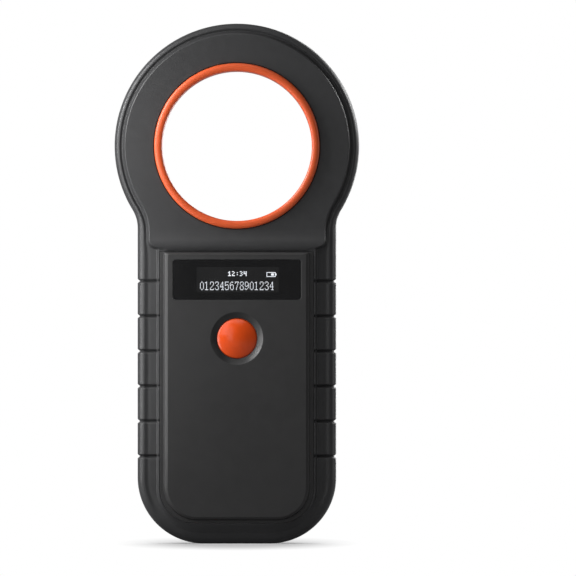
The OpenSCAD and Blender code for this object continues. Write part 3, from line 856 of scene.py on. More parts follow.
def rear_face(skin, edge):
    side_strips(skin, REAR_STRIP, SIDE_Z_REAR, rear_depth)
    inner_x = REAR_STRIP[-1]
    polylines = [(outline_part(edge, CORNER_R, False), False),
                 (outline_part(edge, REAR_SPLIT_Z, True), False)]
    for s in (-1, 1):
        polylines.append(([(s * x, CORNER_R) for x in REAR_STRIP], False))
        polylines.append(([(s * x, REAR_SPLIT_Z) for x in REAR_STRIP], False))
        polylines.append(([(s * inner_x, z) for z in SIDE_Z_REAR], False))
    for x in REAR_STRIP[5:]:
        inner = PAD_HW - x
        polylines.append((u_loop(x, PAD_Z0 + inner, PAD_R0 - inner), False))
        upper = arch((x, REAR_SPLIT_Z), (PAD_HW - PAD_R1, PAD_Z1 - PAD_R1), PAD_R1 - inner, 13,
                     [(v, PAD_Z1 - inner) for v in (8, 0, -8)])
        polylines.append((upper, False))
    for out in (-0.12, -0.07, -0.035, 0, 0.035, 0.07, 0.12):
        polylines.append((round_rect(LABEL_HW - out, LABEL_Z0 + out, LABEL_Z1 - out,
                                     LABEL_R - out, LABEL_R - out, 8), True))
    holes = [circle(0, HEAD_Z, 22.25, RING_SEGMENTS)]
    holes += [circle(x, z, 2.65, 40) for x, z in PAD_SCREWS]
    holes += [circle(x, z, 2.37, 40) for x, z in HEAD_SCREWS]
    holes += [circle(x, z, 0.85, 20) for x, z in SOUND_HOLES]
    polylines += [(hole, True) for hole in holes]

    def inside(x, z):
        in_strip = (np.abs(x) > inner_x) & (z > CORNER_R) & (z < REAR_SPLIT_Z)
        ok = in_poly(edge, x, z) & ~in_strip
        for hole in holes:
            ok &= ~in_poly(hole, x, z)
        return ok
    flat, faces = fill(polylines, head_points((5.0, 7.0, 9.5)), inside)
    add_field(skin, flat, faces, rear_depth)


def rear_bores(skin):
    """Rounded mouths and bores of the openings, down to the posts' ends."""
    lathe(skin, 0, HEAD_Z, [(22.25, 10.0), (22.12, 9.96, 1), (22.0, 9.84, 1), (HOLE_R, 9.7),
                            (HOLE_R, 0.0)], RING_SEGMENTS)
    pad_bore = [(2.65, PAD_D), (2.52, 11.36, 1), (2.43, 11.27, 1), (2.4, 11.15),
                (2.4, PAD_SEAT_D), (1.2, PAD_SEAT_D), (1.2, 0.05), (3.1, 0.05),
                (3.1, REAR_CEILING)]
    head_bore = [(2.37, 10.0), (2.34, 9.985, 1), (2.315, 9.96, 1), (2.3, 9.9),
                 (2.3, HEAD_SEAT_D), (1.2, HEAD_SEAT_D), (1.2, 0.05), (2.6, 0.05),
                 (2.6, REAR_HEAD_CEILING)]
    sound_bore = [(0.85, PAD_D), (0.76, 11.36, 1), (SOUND_R, 11.25), (SOUND_R, REAR_CEILING)]
    for places, bore, segments in ((PAD_SCREWS, pad_bore, 40), (HEAD_SCREWS, head_bore, 40),
                                   (SOUND_HOLES, sound_bore, 20)):
        for x, z in places:
            lathe(skin, x, z, bore, segments)


def make_rear():
    skin = Skin()
    cut = port_cut(front=False)
    edge = shell_outside(skin, cut, (0.3, 0.9, 2.2, 3.8, 5.4, 6.8, 7.4), rear_profile(),
                         rear_depth)
    rear_face(skin, edge)
    rear_bores(skin)
    holes = [circle(x, z, 3.1, 40) for x, z in PAD_SCREWS]
    holes += [circle(x, z, 2.6, 40) for x, z in HEAD_SCREWS]
    holes += [circle(x, z, SOUND_R, 20) for x, z in SOUND_HOLES]
    shell_inside(skin, cut, -PORT_D, rear_ceiling, holes,
                 creases=[[(-25.2, z), (25.2, z)] for z in CEILING_SLOPE_Z])
    skin.turn_over()
    return skin.build("rear_shell_moulding")


# ---- trim ring ------------------------------------------------------------------
def make_ring():
    """A tube through the head with a rounded bead over its front edge."""
    bore_r, tube_r = 20.75, 21.9
    section = [(20.95, -10.0), (bore_r, -9.8), (bore_r, -6.0, 1), (bore_r, 0.0, 1),
               (bore_r, 6.0, 1), (bore_r, 9.5)]
    power = 2 / 2.35        # the bead is a superellipse of exponent 2.35
    for j in range(0, 17):
        a = math.pi - math.pi * j / 16
        cos, sin = math.cos(a), math.sin(a)
        section.append((21.825 + 1.075 * math.copysign(abs(cos) ** power, cos),
                        9.55 + 0.97 * abs(sin) ** power, 1 if j < 16 else 0))
    section += [(22.9, 9.4), (22.88, 9.0), (22.8, 8.92), (tube_r, 8.92), (tube_r, 0.0),
                (tube_r, -9.9), (21.75, -10.0)]
    skin = Skin()
    lathe(skin, 0, HEAD_Z, section + section[:1], RING_SEGMENTS, hand=-1)
    return skin.build("ring_trim_moulding")


# ---- front panel ----------------------------------------------------------------
def make_panel():
    skin = Skin()
    side_zs = (24.0, 32, 40, 48, 56, 64, 72)
    back, front = 8.55, 10.6

    def flange(inner):
        """Loop moved in from the flange's edge."""
        return round_rect(21.24 - inner, 5.71 + inner, 80.84 - inner, 9.4 - inner,
                          0.45 - inner * 0.1, 16, side_zs)

    def face(inner, drop):
        """Loop of the raised face, moved in from its foot and lowered at its head."""
        return round_rect(20.25 - inner, 6.5 + 0.75 * inner, 80.62 - drop, 9.2 - inner, 0.5,
                          16, side_zs)

    # inset, drop and depth of the smooth rows up the raised face
    slope = [(0.0, 0.0, 9.60), (0.05, 0.02, 9.68), (0.31, 0.12, 10.2), (0.37, 0.16, 10.29),
             (0.45, 0.2, 10.335), (0.72, 0.32, 10.44), (1.0, 0.46, 10.55), (1.08, 0.5, 10.582)]
    top = face(1.16, 0.56)
    bands(skin, [(flange(0.12), back), (flange(0.0), 8.65), (flange(0.0), 9.46),
                 (flange(0.02), 9.53, 1), (flange(0.06), 9.565, 1), (flange(0.12), 9.57),
                 (face(-0.05, -0.03), 9.58)]
          + [(face(inner, drop), depth, 1) for inner, drop, depth in slope]
          + [(top, front)])

    def seat(inner):
        return window_loop(17.88, 5.68, 0.95, inner)
    well_r, well_segments = 7.36, 96
    flat_region(skin, top, [seat(0), circle(0, BUTTON_Z, well_r, well_segments)], front, 1)
    # window seat with a soft mouth, and the opening behind it
    opening = window_loop(14.6, 4.8, 0.5)
    bands(skin, [(seat(0), front), (seat(0.04), 10.59, 1), (seat(0.07), 10.56, 1),
                 (seat(0.08), 10.5), (seat(0.08), 9.35), (opening, 9.35), (opening, back)])
    # button well
    button_r = 5.6
    lathe(skin, 0, BUTTON_Z,
          [(well_r, front), (7.26, 10.585, 1), (7.17, 10.53, 1), (7.08, 10.44, 1),
           (6.6, 10.03, 1), (6.1, 9.68, 1), (5.7, 9.47), (button_r, 9.3), (button_r, back)],
          well_segments)
    flat_region(skin, flange(0.12),
                [opening, circle(0, BUTTON_Z, button_r, well_segments)], back, -1)
    return skin.build("front_panel_moulding")


# ---- display and label ----------------------------------------------------------
def make_slab(name, loop_at, rows, hole=None):
    """A thin plate: loop_at(inset) is its outline, rows are (inset, depth[, smooth])."""
    skin = Skin()
    bands(skin, [(loop_at(row[0]), *row[1:]) for row in rows])
    holes = [] if hole is None else [hole]
    for row, facing in ((rows[0], -1), (rows[-1], 1)):
        flat_region(skin, loop_at(row[0]), holes, row[1], facing)
    if hole is not None:
        bands(skin, [(hole, rows[0][1]), (hole, rows[-1][1])])
    return skin.build(name)


def make_lens():
    return make_slab("display_lens", lambda inner: window_loop(17.75, 5.55, 0.8, inner),
                     [(0.1, 9.5), (0.0, 9.6), (0.0, 10.36), (0.02, 10.42, 1),
                      (0.07, 10.47, 1), (0.14, 10.48)])


def make_mask():
    hole = window_loop(11.35, 3.52, 0.25)
    hole[:, 0] += 0.2
    return make_slab("display_mask", lambda inner: window_loop(17.7, 5.5, 0.75, inner),
                     [(0.0, 9.455), (0.0, 9.488)], hole)


def make_label():
    def loop_at(inner):
        r = 1.45 - inner
        return round_rect(14.9 - inner, 27.1 + inner, 58.9 - inner, r, r, 8)
    return make_slab("rear_label_film", loop_at,
                     [(0.05, -11.175), (0.0, -11.21), (0.0, -11.29), (0.03, -11.325, 1),
                      (0.1, -11.34)])


# Rows of each digit from the top down, with # for a lit dot.
DIGITS = {
    "0": "..##.. .#..#. #....# #....# #....# #....# #....# #....# #....# #....# .#..#. ..##..",
    "1": "..#... ###... ..#... ..#... ..#... ..#... ..#... ..#... ..#... ..#... ..#... #####.",
    "2": ".####. #....# #....# #....# .....# ....#. ...#.. ..#... .#.... #..... #....# ######",
    "3": ".####. #....# #....# .....# ....#. ..##.. ....#. .....# .....# #....# #....# .####.",
    "4": "....#. ...##. ...##. ..#.#. .#..#. .#..#. #...#. ###### ....#. ....#. ....#. ..####",
    "5": "###### #..... #..... #..... #.###. ##...# .....# .....# .....# #....# #....# .####.",
    "6": "..###. .#..#. #..... #..... #.###. ##...# #....# #....# #....# #....# .#...# ..###.",
    "7": "###### #....# #...#. ....#. ....#. ...#.. ...#.. ...#.. ..#... ..#... ..#... ..#...",
    "8": ".####. #....# #....# #....# .#..#. ..##.. .#..#. #....# #....# #....# #....# .####.",
    "9": ".###.. #...#. #....# #....# #....# #...## .###.# .....# .....# #...#. #..#.. .##...",
}
CLOCK_DIGITS = {
    "1": ".#. ##. .#. .#. ###",
    "2": "##. ..# .#. #.. ###",
    "3": "##. ..# .#. ..# ##.",
    "4": "#.# #.# ### ..# ..#",
    ":": "... .#. ... .#. ...",
}


def add_dot(skin, x, z, width, height):
    """One raised, lit dot."""
    back, front = 8.462, 8.49
    corners = [(x, z), (x + width, z), (x + width, z + height), (x, z + height)]
    for depth, facing in ((front, 1), (back, -1)):
        skin.flat([(a, depth, b) for a, b in corners], (0, facing, 0), [(0, 1, 2, 3)])
    for i in range(4):
        (xa, za), (xb, zb) = corners[i], corners[(i + 1) % 4]
        side = [(xa, back, za), (xb, back, zb), (xb, front, zb), (xa, front, za)]
        skin.flat(side, (zb - za, 0, -(xb - xa)), [(0, 1, 2, 3)])


def add_text(skin, text, glyphs, x0, top, pitch, width, height):
    """Text of dots from x0 rightward; width and height are the pitches of its dots."""
    gap = 0.012
    for i, char in enumerate(text):
        for r, row in enumerate(glyphs[char].split()):
            for c, mark in enumerate(row):
                if mark == "#":
                    add_dot(skin, x0 + i * pitch + c * width + gap,
                            top - (r + 1) * height + gap, width - 2 * gap, height - 2 * gap)


def make_characters():
    """The lit dots of the display: a row of digits, a small clock and a battery outline."""
    skin = Skin()
    add_text(skin, "012345678901234", DIGITS, x0=-10.2, top=72.53, pitch=1.378,
             width=0.172, height=0.194)
    add_text(skin, "12:34", CLOCK_DIGITS, x0=-2.45, top=75.42, pitch=1.08,
             width=0.27, height=0.27)
    x, z, bar = 8.2, 73.85, 0.17
    battery = [
        (x, z, 2.5, bar), (x, z + 1.13, 2.5, bar),                                  # long sides
        (x, z + bar + .01, bar, .94), (x + 2.33, z + bar + .01, bar, .94),          # ends
        (x + 2.52, z + 0.4, 0.22, 0.5),                                             # terminal
        (x + 1.28, z + .36, .75, .6),                                               # charge
    ]
    for block in battery:
        add_dot(skin, *block)
    return skin.build("display_characters")


# ---- button ---------------------------------------------------------------------
def make_button():
    cap_r, shoulder_d = 5.5, 9.55
    shoulder_rise = 0.62
    shoulder_turn = 0.62        # share of a quarter turn
    crown_angle = 0.62          # half angle of the crown, in radians
    crown_r, crown_d, crown_foot = 5.36, 11.4, 10.17
    profile = [(0.0, 6.52), (2.2, 6.52), (2.2, 7.35), (6.3, 7.35), (6.4, 7.45), (6.4, 8.4),
               (6.3, 8.5), (cap_r, 8.5), (cap_r, shoulder_d)]
    # a low spherical crown over a small rounded shoulder
    for j in range(1, 7):
        profile.append((cap_r - 0.28 * (1 - math.cos(math.pi / 2 * j / 7 * shoulder_turn)),
                        shoulder_d + shoulder_rise * j / 7, 1))
    for j in range(7, 26):
        a = crown_angle * (25 - j) / 18
        drop = (crown_d - crown_foot) * (1 - math.cos(a)) / (1 - math.cos(crown_angle))
        profile.append((crown_r * math.sin(a) / math.sin(crown_angle), crown_d - drop,
                        1 if j < 25 else 0))
    skin = Skin()
    lathe(skin, 0, BUTTON_Z, profile, 96)
    button = skin.build("scan_button_cap")
    # the button casts no orange onto its surroundings
    button.visible_diffuse = False
    button.visible_glossy = False
    return button


# ---- screws, with depth towards the rear ----------------------------------------
def cross_outline():
    """Cross recess with small bevels in its inner corners, about (0, 0)."""
    arm, reach = 0.23, 0.98
    bevel = arm + .09
    return np.array([
        (reach, -arm), (reach, arm), (bevel, arm), (arm, bevel),
        (arm, reach), (-arm, reach), (-arm, bevel), (-bevel, arm),
        (-reach, arm), (-reach, -arm), (-bevel, -arm), (-arm, -bevel),
        (-arm, -reach), (arm, -reach), (arm, -bevel), (bevel, -arm)])


def add_screw(skin, x, z, seat, length):
    base = seat + 0.02
    top, pit = base + 1.32, base + 0.55
    head = [(1.0, base), (1.92, base), (1.99, base + .08, 1), (2.0, base + 0.35, 1),
            (1.97, base + 0.6, 1), (1.86, base + 0.86, 1), (1.68, base + 1.08, 1),
            (1.45, base + 1.24, 1), (1.2, top)]
    lathe(skin, x, z, head, 40)
    # cross recess, turned differently on each screw and narrower at its floor
    cross = cross_outline()
    turn = math.radians(23 + 31 * x + 7 * z)
    rotation = np.array([[math.cos(turn), -math.sin(turn)], [math.sin(turn), math.cos(turn)]])
    mouth = cross @ rotation.T + np.array([x, z])
    floor_loop = (cross * 0.72) @ rotation.T + np.array([x, z])
    flat_region(skin, circle(x, z, 1.2, 40), [mouth], top, 1)
    high, low = lift(mouth, top), lift(floor_loop, pit)
    for i in range(len(cross)):
        j = (i + 1) % len(cross)
        edge = high[j] - high[i]
        normal = (-edge[2], 0.25 * np.hypot(edge[0], edge[2]), edge[0])
        skin.flat([high[i], high[j], low[j], low[i]], normal, [(0, 1, 2, 3)])
    flat_region(skin, floor_loop, [], pit, 1)
    # threaded shank
    root_r, thread_r, pitch = 0.74, 0.98, 0.48
    shank = [(1.0, base)]
    depth, end = base - 0.8, base - length
    while depth > end + 0.9:
        shank += [(root_r, depth), (thread_r, depth - 0.12), (thread_r, depth - 0.18),
                  (root_r, depth - 0.34)]
        depth -= pitch
    shank += [(0.7, end + 0.6), (0.35, end), (0.0, end)]
    lathe(skin, x, z, shank, 40, hand=-1)


def make_screws():
    skin = Skin()
    for places, seat, length in ((PAD_SCREWS, PAD_SEAT_D, 13.0), (HEAD_SCREWS, HEAD_SEAT_D, 12.0)):
        for x, z in places:
            add_screw(skin, x, z, seat, length)
    skin.turn_over()
    return skin.build("case_screws_set")


# ---- charging port --------------------------------------------------------------
def make_port():
    """Shell of the charging port: an oval tube drawn along z."""
    skin = Skin()

    def oval(half_w, half_d, r):
        return round_rect(half_w, -half_d, half_d, r, r, 8)

    def at_height(loop, z):
        return xyz(loop[:, 0], PORT_D + loop[:, 1], z)
    outer, inner = oval(4.47, 1.63, 1.4), oval(4.17, 1.33, 1.15)
    lip_outer, lip_inner = oval(4.4, 1.56, 1.35), oval(4.24, 1.4, 1.2)
    lip_z, mouth_z, back_z, floor_z = 0.7, 0.8, 8.05, 6.9
    walls = [(lip_outer, lip_z, lip_inner, lip_z), (lip_outer, lip_z, outer, mouth_z),
             (outer, mouth_z, outer, back_z), (lip_inner, lip_z, inner, mouth_z),
             (inner, mouth_z, inner, floor_z)]
    for loop_a, z_a, loop_b, z_b in walls:
        skin.grid(np.stack([at_height(loop_a, z_a), at_height(loop_b, z_b)]))
    for loop, z, facing in ((outer, back_z, 1), (inner, floor_z, -1)):
        flat, faces = fill_region(loop)
        skin.flat(at_height(flat, z), (0, 0, facing), faces)
    return skin.build("usb_port_shell")


# ---- the pieces -----------------------------------------------------------------
# builder, material slot, CAD piece it replaces
PIECES = [
    (make_front, "shell_black", "front_shell"),
    (make_rear, "shell_black", "rear_shell"),
    (make_ring, "trim_orange", "ring_trim"),
    (make_panel, "panel_black", "front_panel"),
    (make_lens, "window_tint", "display_window"),
    (make_mask, "window_tint", None),
    (make_characters, "display_film", None),
    (make_button, "button_orange", "scan_button"),
    (make_label, "label_grey", "rear_label"),
    (make_screws, "screw_zinc", "case_screws"),
    (make_port, "can_steel", "usb_port"),
]
built = [make() for make, _, _ in PIECES]
for ob, (make, slot, node) in zip(built, PIECES):
    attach(ob, "button" if make is make_button else "housing")
    if node:
        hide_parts(node)


# ---- shader nodes ---------------------------------------------------------------
class Nodes:
    """The node tree of a material or world. Wherever a value is given, an output socket
    may be given instead and is linked."""

    def __init__(self, owner, output):
        owner.use_nodes = True
        self.tree = owner.node_tree
        self.tree.nodes.clear()
        self.out = self.add(output)

    def feed(self, socket, value):
        if isinstance(value, bpy.types.NodeSocket):
            self.tree.links.new(value, socket)
        elif socket.type == "RGBA":
            socket.default_value = value + (1,)
        else:
            socket.default_value = value

    def add(self, kind, *values, **settings):
        """Settings name inputs, with _ for a space, or node properties. Values feed the
        inputs in order."""
        node = self.tree.nodes.new(kind)
        for key, value in settings.items():
            socket = node.inputs.get(key.replace("_", " "))
            if socket is None:
                setattr(node, key, value)
            else:
                self.feed(socket, value)
        for i, value in enumerate(values):
            self.feed(node.inputs[i], value)
        return node

    def blend(self, mask, shader_a, shader_b):
        return self.add("ShaderNodeMixShader", mask, shader_a, shader_b).outputs[0]

    def finish(self, shader):
        self.feed(self.out.inputs["Surface"], shader)


class Paint(Nodes):
    """A material drawn in object coordinates, which are in metres."""

    def __init__(self, name):
        self.material = bpy.data.materials.new(name)
        super().__init__(self.material, "ShaderNodeOutputMaterial")
        self.place = self.add("ShaderNodeTexCoord").outputs["Object"]

    def mapping(self, **settings):
        return self.add("ShaderNodeMapping", Vector=self.place, **settings).outputs[0]

    def noise(self, scale, detail=3, rough=0.55, place=None, distortion=0.0):
        return self.add("ShaderNodeTexNoise", Scale=scale, Detail=detail, Roughness=rough,
                        Distortion=distortion, Vector=place or self.place).outputs["Fac"]

    def cells(self, scale):
        node = self.add("ShaderNodeTexVoronoi", Scale=scale, Vector=self.place)
        return node.outputs["Distance"]

    def ramp(self, value, span=(0.3, 0.7), to=(0.0, 1.0)):
        """Maps span to the range to, clamped."""
        return self.add("ShaderNodeMapRange", clamp=True, Value=value, From_Min=span[0],
                        From_Max=span[1], To_Min=to[0], To_Max=to[1]).outputs["Result"]

    def calc(self, operation, *values):
        return self.add("ShaderNodeMath", *values, operation=operation).outputs[0]

    def mix(self, mask, colour_a, colour_b):
        node = self.add("ShaderNodeMix", data_type="RGBA")
        # inputs 6 and 7 and output 2 are the colour sockets
        for i, value in ((0, mask), (6, colour_a), (7, colour_b)):
            self.feed(node.inputs[i], value)
        return node.outputs[2]

    def bump(self, height, strength, distance, **settings):
        return self.add("ShaderNodeBump", Strength=strength, Distance=distance,
                        Height=height, **settings).outputs["Normal"]

    def surface(self, colour, rough, normal, **settings):
        """Principled surface; returns the finished material."""
        self.finish(self.add("ShaderNodeBsdfPrincipled", Base_Color=colour, Roughness=rough,
                             Normal=normal, Coat_Roughness=0.1, **settings).outputs[0])
        return self.material


def scaled(colour, k):
    return tuple(min(1.0, c * k) for c in colour)


# ---- kinds of material ----------------------------------------------------------
def moulded(name, colour, rough=0.45, grain=5200.0, grain_depth=1.4e-5, wear=0.5,
            mottle=0.10, **settings):
    """Moulded plastic: spark-eroded grain, slow colour and gloss variation, faint scratches,
    rubbed edges."""
    n = Paint(name)
    slow = n.noise(scale=38)
    mid = n.noise(scale=420, detail=4, rough=0.6)
    fine = n.noise(scale=grain, detail=2, rough=0.6)
    cell = n.cells(scale=grain * 0.62)
    # long faint scratches, stretched along z
    stretched = n.mapping(Scale=(900, 900, 35), Rotation=(0.3, 0.5, 0.2))
    scratch = n.noise(scale=1.0, detail=2, rough=0.5, place=stretched)
    scratch = n.ramp(scratch, span=(0.70, 0.76))
    col = n.mix(n.ramp(slow), scaled(colour, 1 - mottle), scaled(colour, 1 + mottle))
    col = n.mix(n.ramp(mid, span=(0.35, 0.7), to=(0, 0.35)), col, scaled(colour, 1.25))
    # rubbed edges, broken up by noise
    pointed = n.add("ShaderNodeNewGeometry").outputs["Pointiness"]
    broken = n.ramp(n.noise(scale=260, detail=4, rough=0.7), span=(0.35, 0.65))
    edge = n.calc("MULTIPLY", n.ramp(pointed, span=(0.53, 0.62)), broken)
    edge = n.calc("MULTIPLY", edge, wear)
    col = n.mix(edge, col, scaled(colour, 1.9))
    gloss = n.ramp(mid, to=(rough - 0.035, rough + 0.035))
    gloss = n.calc("SUBTRACT", gloss, n.calc("MULTIPLY", edge, 0.10))
    gloss = n.calc("SUBTRACT", gloss, n.calc("MULTIPLY", scratch, 0.05))
    height = n.calc("ADD", n.calc("MULTIPLY", fine, 0.6), n.calc("MULTIPLY", cell, 0.5))
    normal = n.bump(height, strength=0.55, distance=grain_depth)
    normal = n.bump(mid, strength=0.25, distance=grain_depth * 1.4, Normal=normal)
    return n.surface(col, gloss, normal, **settings)


def metal(name, colour, rough=0.3, brush=(2600, 2600, 60), stain=0.15):
    """Brushed metal; brush holds the line noise's scale along x, y and z."""
    n = Paint(name)
    line = n.noise(scale=1.0, detail=4, rough=0.6, place=n.mapping(Scale=brush))
    slow = n.noise(scale=160, detail=4, rough=0.6)
    col = n.mix(n.ramp(slow, span=(0.35, 0.7)), scaled(colour, 1 - stain),
                scaled(colour, 1 + stain * 0.5))
    return n.surface(col, n.ramp(line, to=(rough - 0.08, rough + 0.1)),
                     n.bump(line, strength=0.3, distance=8e-6), Metallic=1.0)


def glossy(name, colour, rough=0.18):
    """Smooth coated plastic or glass with faint spots."""
    n = Paint(name)
    slow = n.noise(scale=90)
    mid = n.noise(scale=900, detail=4, rough=0.6)
    col = n.mix(n.ramp(slow), scaled(colour, 1 - 0.12), scaled(colour, 1 + 0.12))
    col = n.mix(n.ramp(mid, span=(0.5, 0.8), to=(0, 0.4)), col, scaled(colour, 1.3))
    return n.surface(col, n.ramp(mid, to=(rough - 0.04, rough + 0.06)),
                     n.bump(mid, strength=0.2, distance=1e-5), Coat_Weight=0.3)


def board(name, colour):
    """Solder mask over copper tracks, with a fine weave beneath."""
    n = Paint(name)
    upright = n.mapping(Rotation=(math.pi / 2, 0, 0))
    bricks = n.add("ShaderNodeTexBrick", Scale=420.0, Mortar_Size=0.035, offset=0.5,
                   Vector=upright)
    track = n.ramp(bricks.outputs["Fac"], span=(0.3, 0.6))
    pads = n.ramp(n.cells(scale=330), span=(0.12, 0.16), to=(1, 0))
    weave = n.noise(scale=2600, detail=2, rough=0.5)
    col = n.mix(track, colour, scaled(colour, 1.9))
    col = n.mix(n.ramp(weave, to=(0, 0.3)), col, scaled(colour, 0.7))
    col = n.mix(pads, col, (0.55, 0.42, 0.2))
    height = n.calc("ADD", n.calc("MULTIPLY", track, 0.7), n.calc("MULTIPLY", weave, 0.2))
    return n.surface(col, n.ramp(weave, to=(0.25, 0.38)),
                     n.bump(height, strength=0.4, distance=3e-5), Coat_Weight=0.4)


def soft(name, colour, rough=0.9, cell=2600):
    """Matt foam or film with fine cells."""
    n = Paint(name)
    cells = n.cells(scale=cell)
    slow = n.noise(scale=220)
    col = n.mix(n.ramp(cells, span=(0.0, 0.6)), scaled(colour, 0.6), scaled(colour, 1.3))
    col = n.mix(n.ramp(slow, to=(0, 0.4)), col, scaled(colour, 1.2))
    return n.surface(col, rough, n.bump(cells, strength=0.8, distance=8e-5),
                     Sheen_Weight=0.2)


def wound(name, colour):
    """Enamelled wire wound round the coil's axis, each turn painted lighter on its crown and darker
    where it meets the next: painted highlight and shade.
    """
    n = Paint(name)
    turns = n.add("ShaderNodeTexWave", Scale=1.0, Distortion=0.6, bands_direction="Y",
                  Vector=n.mapping(Scale=(1, 2600, 1))).outputs["Fac"]
    # painted highlight on each turn's crown and painted shade between the turns
    col = n.mix(turns, scaled(colour, 0.35), scaled(colour, 1.25))
    slow = n.ramp(n.noise(scale=300), span=(0.35, 0.7), to=(0, 0.5))
    col = n.mix(slow, col, scaled(colour, 0.75))
    return n.surface(col, 0.28, n.bump(turns, strength=0.8, distance=1.5e-4),
                     Metallic=0.8, Coat_Weight=0.5)


def tinted_window(name):
    """Dark clear window that shows what lies behind it, with a faint gloss."""
    n = Paint(name)
    mid = n.noise(scale=700, detail=4, rough=0.6)
    smear = n.noise(scale=55, detail=4, rough=0.7, distortion=0.6)
    tint = n.mix(n.ramp(smear), (0.66, 0.66, 0.67), (0.72, 0.72, 0.73))
    clear = n.add("ShaderNodeBsdfTransparent", Color=tint)
    normal = n.bump(mid, strength=0.03, distance=3e-6)
    gloss = n.add("ShaderNodeBsdfGlossy", Color=(1, 1, 1), Normal=normal,
                  Roughness=n.ramp(smear, span=(0.35, 0.75), to=(0.16, 0.24)))
    fresnel = n.add("ShaderNodeFresnel", IOR=1.36, Normal=normal)
    n.finish(n.blend(fresnel.outputs[0], clear.outputs[0], gloss.outputs[0]))
    return n.material


def lit_dots(name):
    n = Paint(name)
    uneven = n.noise(scale=1500, detail=2)
    glow = n.add("ShaderNodeEmission", Strength=n.ramp(uneven, to=(2.3, 2.6)),
                 Color=n.mix(n.ramp(uneven), (0.86, 0.93, 1.0), (1.0, 1.0, 1.0)))
    n.finish(glow.outputs[0])
    return n.material


def dark_film_painted_glow(name, colour):
    """The display's dark face: a faint grain of cells and a weak painted glow, which lifts its unlit
    face though it is no lamp.
    """
    n = Paint(name)
    cells = n.cells(scale=5700)
    slow = n.noise(scale=150)
    col = n.mix(n.ramp(cells, span=(0.1, 0.5)), scaled(colour, 1.12), scaled(colour, 0.92))
    col = n.mix(n.ramp(slow, to=(0, 0.3)), col, scaled(colour, 1.15))
    # the weak emission here is a painted glow on the display's unlit face
    return n.surface(col, 0.35, n.bump(cells, strength=0.08, distance=3e-6),
                     Specular_IOR_Level=0.4, Emission_Color=(1.0, 1.0, 1.0),
                     Emission_Strength=0.028)


def blank_label(name):
    """Blank silver film with a fine satin grain, a printed border line and rubbed patches."""
    half_w, half_h, middle_z = 0.0149, 0.0159, 0.043
    silver = (0.36, 0.365, 0.375)
    n = Paint(name)
    axes = n.add("ShaderNodeSeparateXYZ", n.place)
    x = n.calc("ABSOLUTE", axes.outputs[0])
    z = n.calc("ABSOLUTE", n.calc("SUBTRACT", axes.outputs[2], middle_z))
    from_edge = n.calc("MINIMUM", n.calc("SUBTRACT", half_w, x), n.calc("SUBTRACT", half_h, z))
    line = n.calc("MULTIPLY", n.ramp(from_edge, span=(0.00105, 0.00112)),
                  n.ramp(from_edge, span=(0.00137, 0.00130)))
    brush = n.noise(scale=1.0, rough=0.6, place=n.mapping(Scale=(120, 1, 7000)))
    slow = n.noise(scale=90)
    rubbed = n.ramp(n.noise(scale=240, detail=5, rough=0.7), span=(0.60, 0.74))
    col = n.mix(n.ramp(brush), scaled(silver, 0.88), scaled(silver, 1.1))
    col = n.mix(n.ramp(slow, to=(0, 0.4)), col, scaled(silver, 1.12))
    col = n.mix(line, col, (0.03, 0.03, 0.032))
    col = n.mix(n.calc("MULTIPLY", rubbed, 0.3), col, (0.24, 0.24, 0.25))
    rough = n.calc("ADD", n.ramp(brush, to=(0.34, 0.46)), n.calc("MULTIPLY", rubbed, 0.1))
    return n.surface(col, rough, n.bump(brush, strength=0.25, distance=6e-6), Metallic=0.35)


# ---- the materials, by slot -----------------------------------------------------
ORANGE_GRAIN = dict(grain=6000, grain_depth=8e-6, wear=0.2, mottle=0.05)
MATERIALS = {
    "shell_black": moulded("shell_black_moulded", (0.030, 0.0302, 0.0312), rough=0.43),
    "panel_black": moulded("panel_black_moulded", (0.0275, 0.0272, 0.0275), rough=0.42,
                           grain=6200, grain_depth=1.0e-5, wear=0.35),
    "trim_orange": moulded("trim_orange_moulded", (0.62, 0.088, 0.020), rough=0.36,
                           **ORANGE_GRAIN),
    "button_orange": moulded("button_orange_moulded", (0.66, 0.066, 0.006), rough=0.20,
                             **ORANGE_GRAIN),
    "adhesive": soft("adhesive_film", (0.62, 0.58, 0.46), rough=0.7, cell=3000),
    "window_tint": tinted_window("window_tinted"),
    "foam_black": soft("foam_closed_cell", (0.02, 0.02, 0.021)),
    "display_glass": glossy("display_glass_dark", (0.012, 0.013, 0.016), rough=0.12),
    "display_film": dark_film_painted_glow("display_film_dark", (0.0125, 0.0125, 0.0128)),
    "flex_amber": glossy("flex_polyimide", (0.36, 0.15, 0.03), rough=0.25),
    "connector_cream": moulded("connector_nylon", (0.62, 0.57, 0.45), rough=0.5),
    "holder_white": moulded("holder_moulding", (0.66, 0.66, 0.62), rough=0.45),
    "chip_black": moulded("chip_epoxy", (0.018, 0.018, 0.02), rough=0.55, grain=4200),
    "plunger_grey": moulded("plunger_moulding", (0.45, 0.45, 0.46), rough=0.5),
    "board_green": board("board_mask_green", (0.012, 0.085, 0.035)),
    "board_blue": board("board_mask_blue", (0.012, 0.045, 0.12)),
    "can_steel": metal("can_tinned_steel", (0.62, 0.62, 0.63), rough=0.28),
    "ferrite_grey": moulded("ferrite_core", (0.06, 0.06, 0.062), rough=0.6),
    "passive_tan": moulded("passive_ceramic", (0.36, 0.27, 0.17), rough=0.4),
    "cell_foil": metal("cell_foil_laminate", (0.58, 0.6, 0.62), rough=0.34,
                       brush=(300, 300, 300)),
    "lead_red": glossy("lead_insulation_red", (0.42, 0.015, 0.012), rough=0.35),
    "lead_black": glossy("lead_insulation_black", (0.012, 0.012, 0.013), rough=0.35),
    "former_cream": moulded("former_nylon", (0.56, 0.52, 0.42), rough=0.5),
    "copper_wire": wound("copper_enamelled", (0.62, 0.24, 0.08)),
    "label_grey": blank_label("label_film_blank"),
    "screw_zinc": metal("screw_zinc_plated", (0.42, 0.42, 0.43), rough=0.34),
}
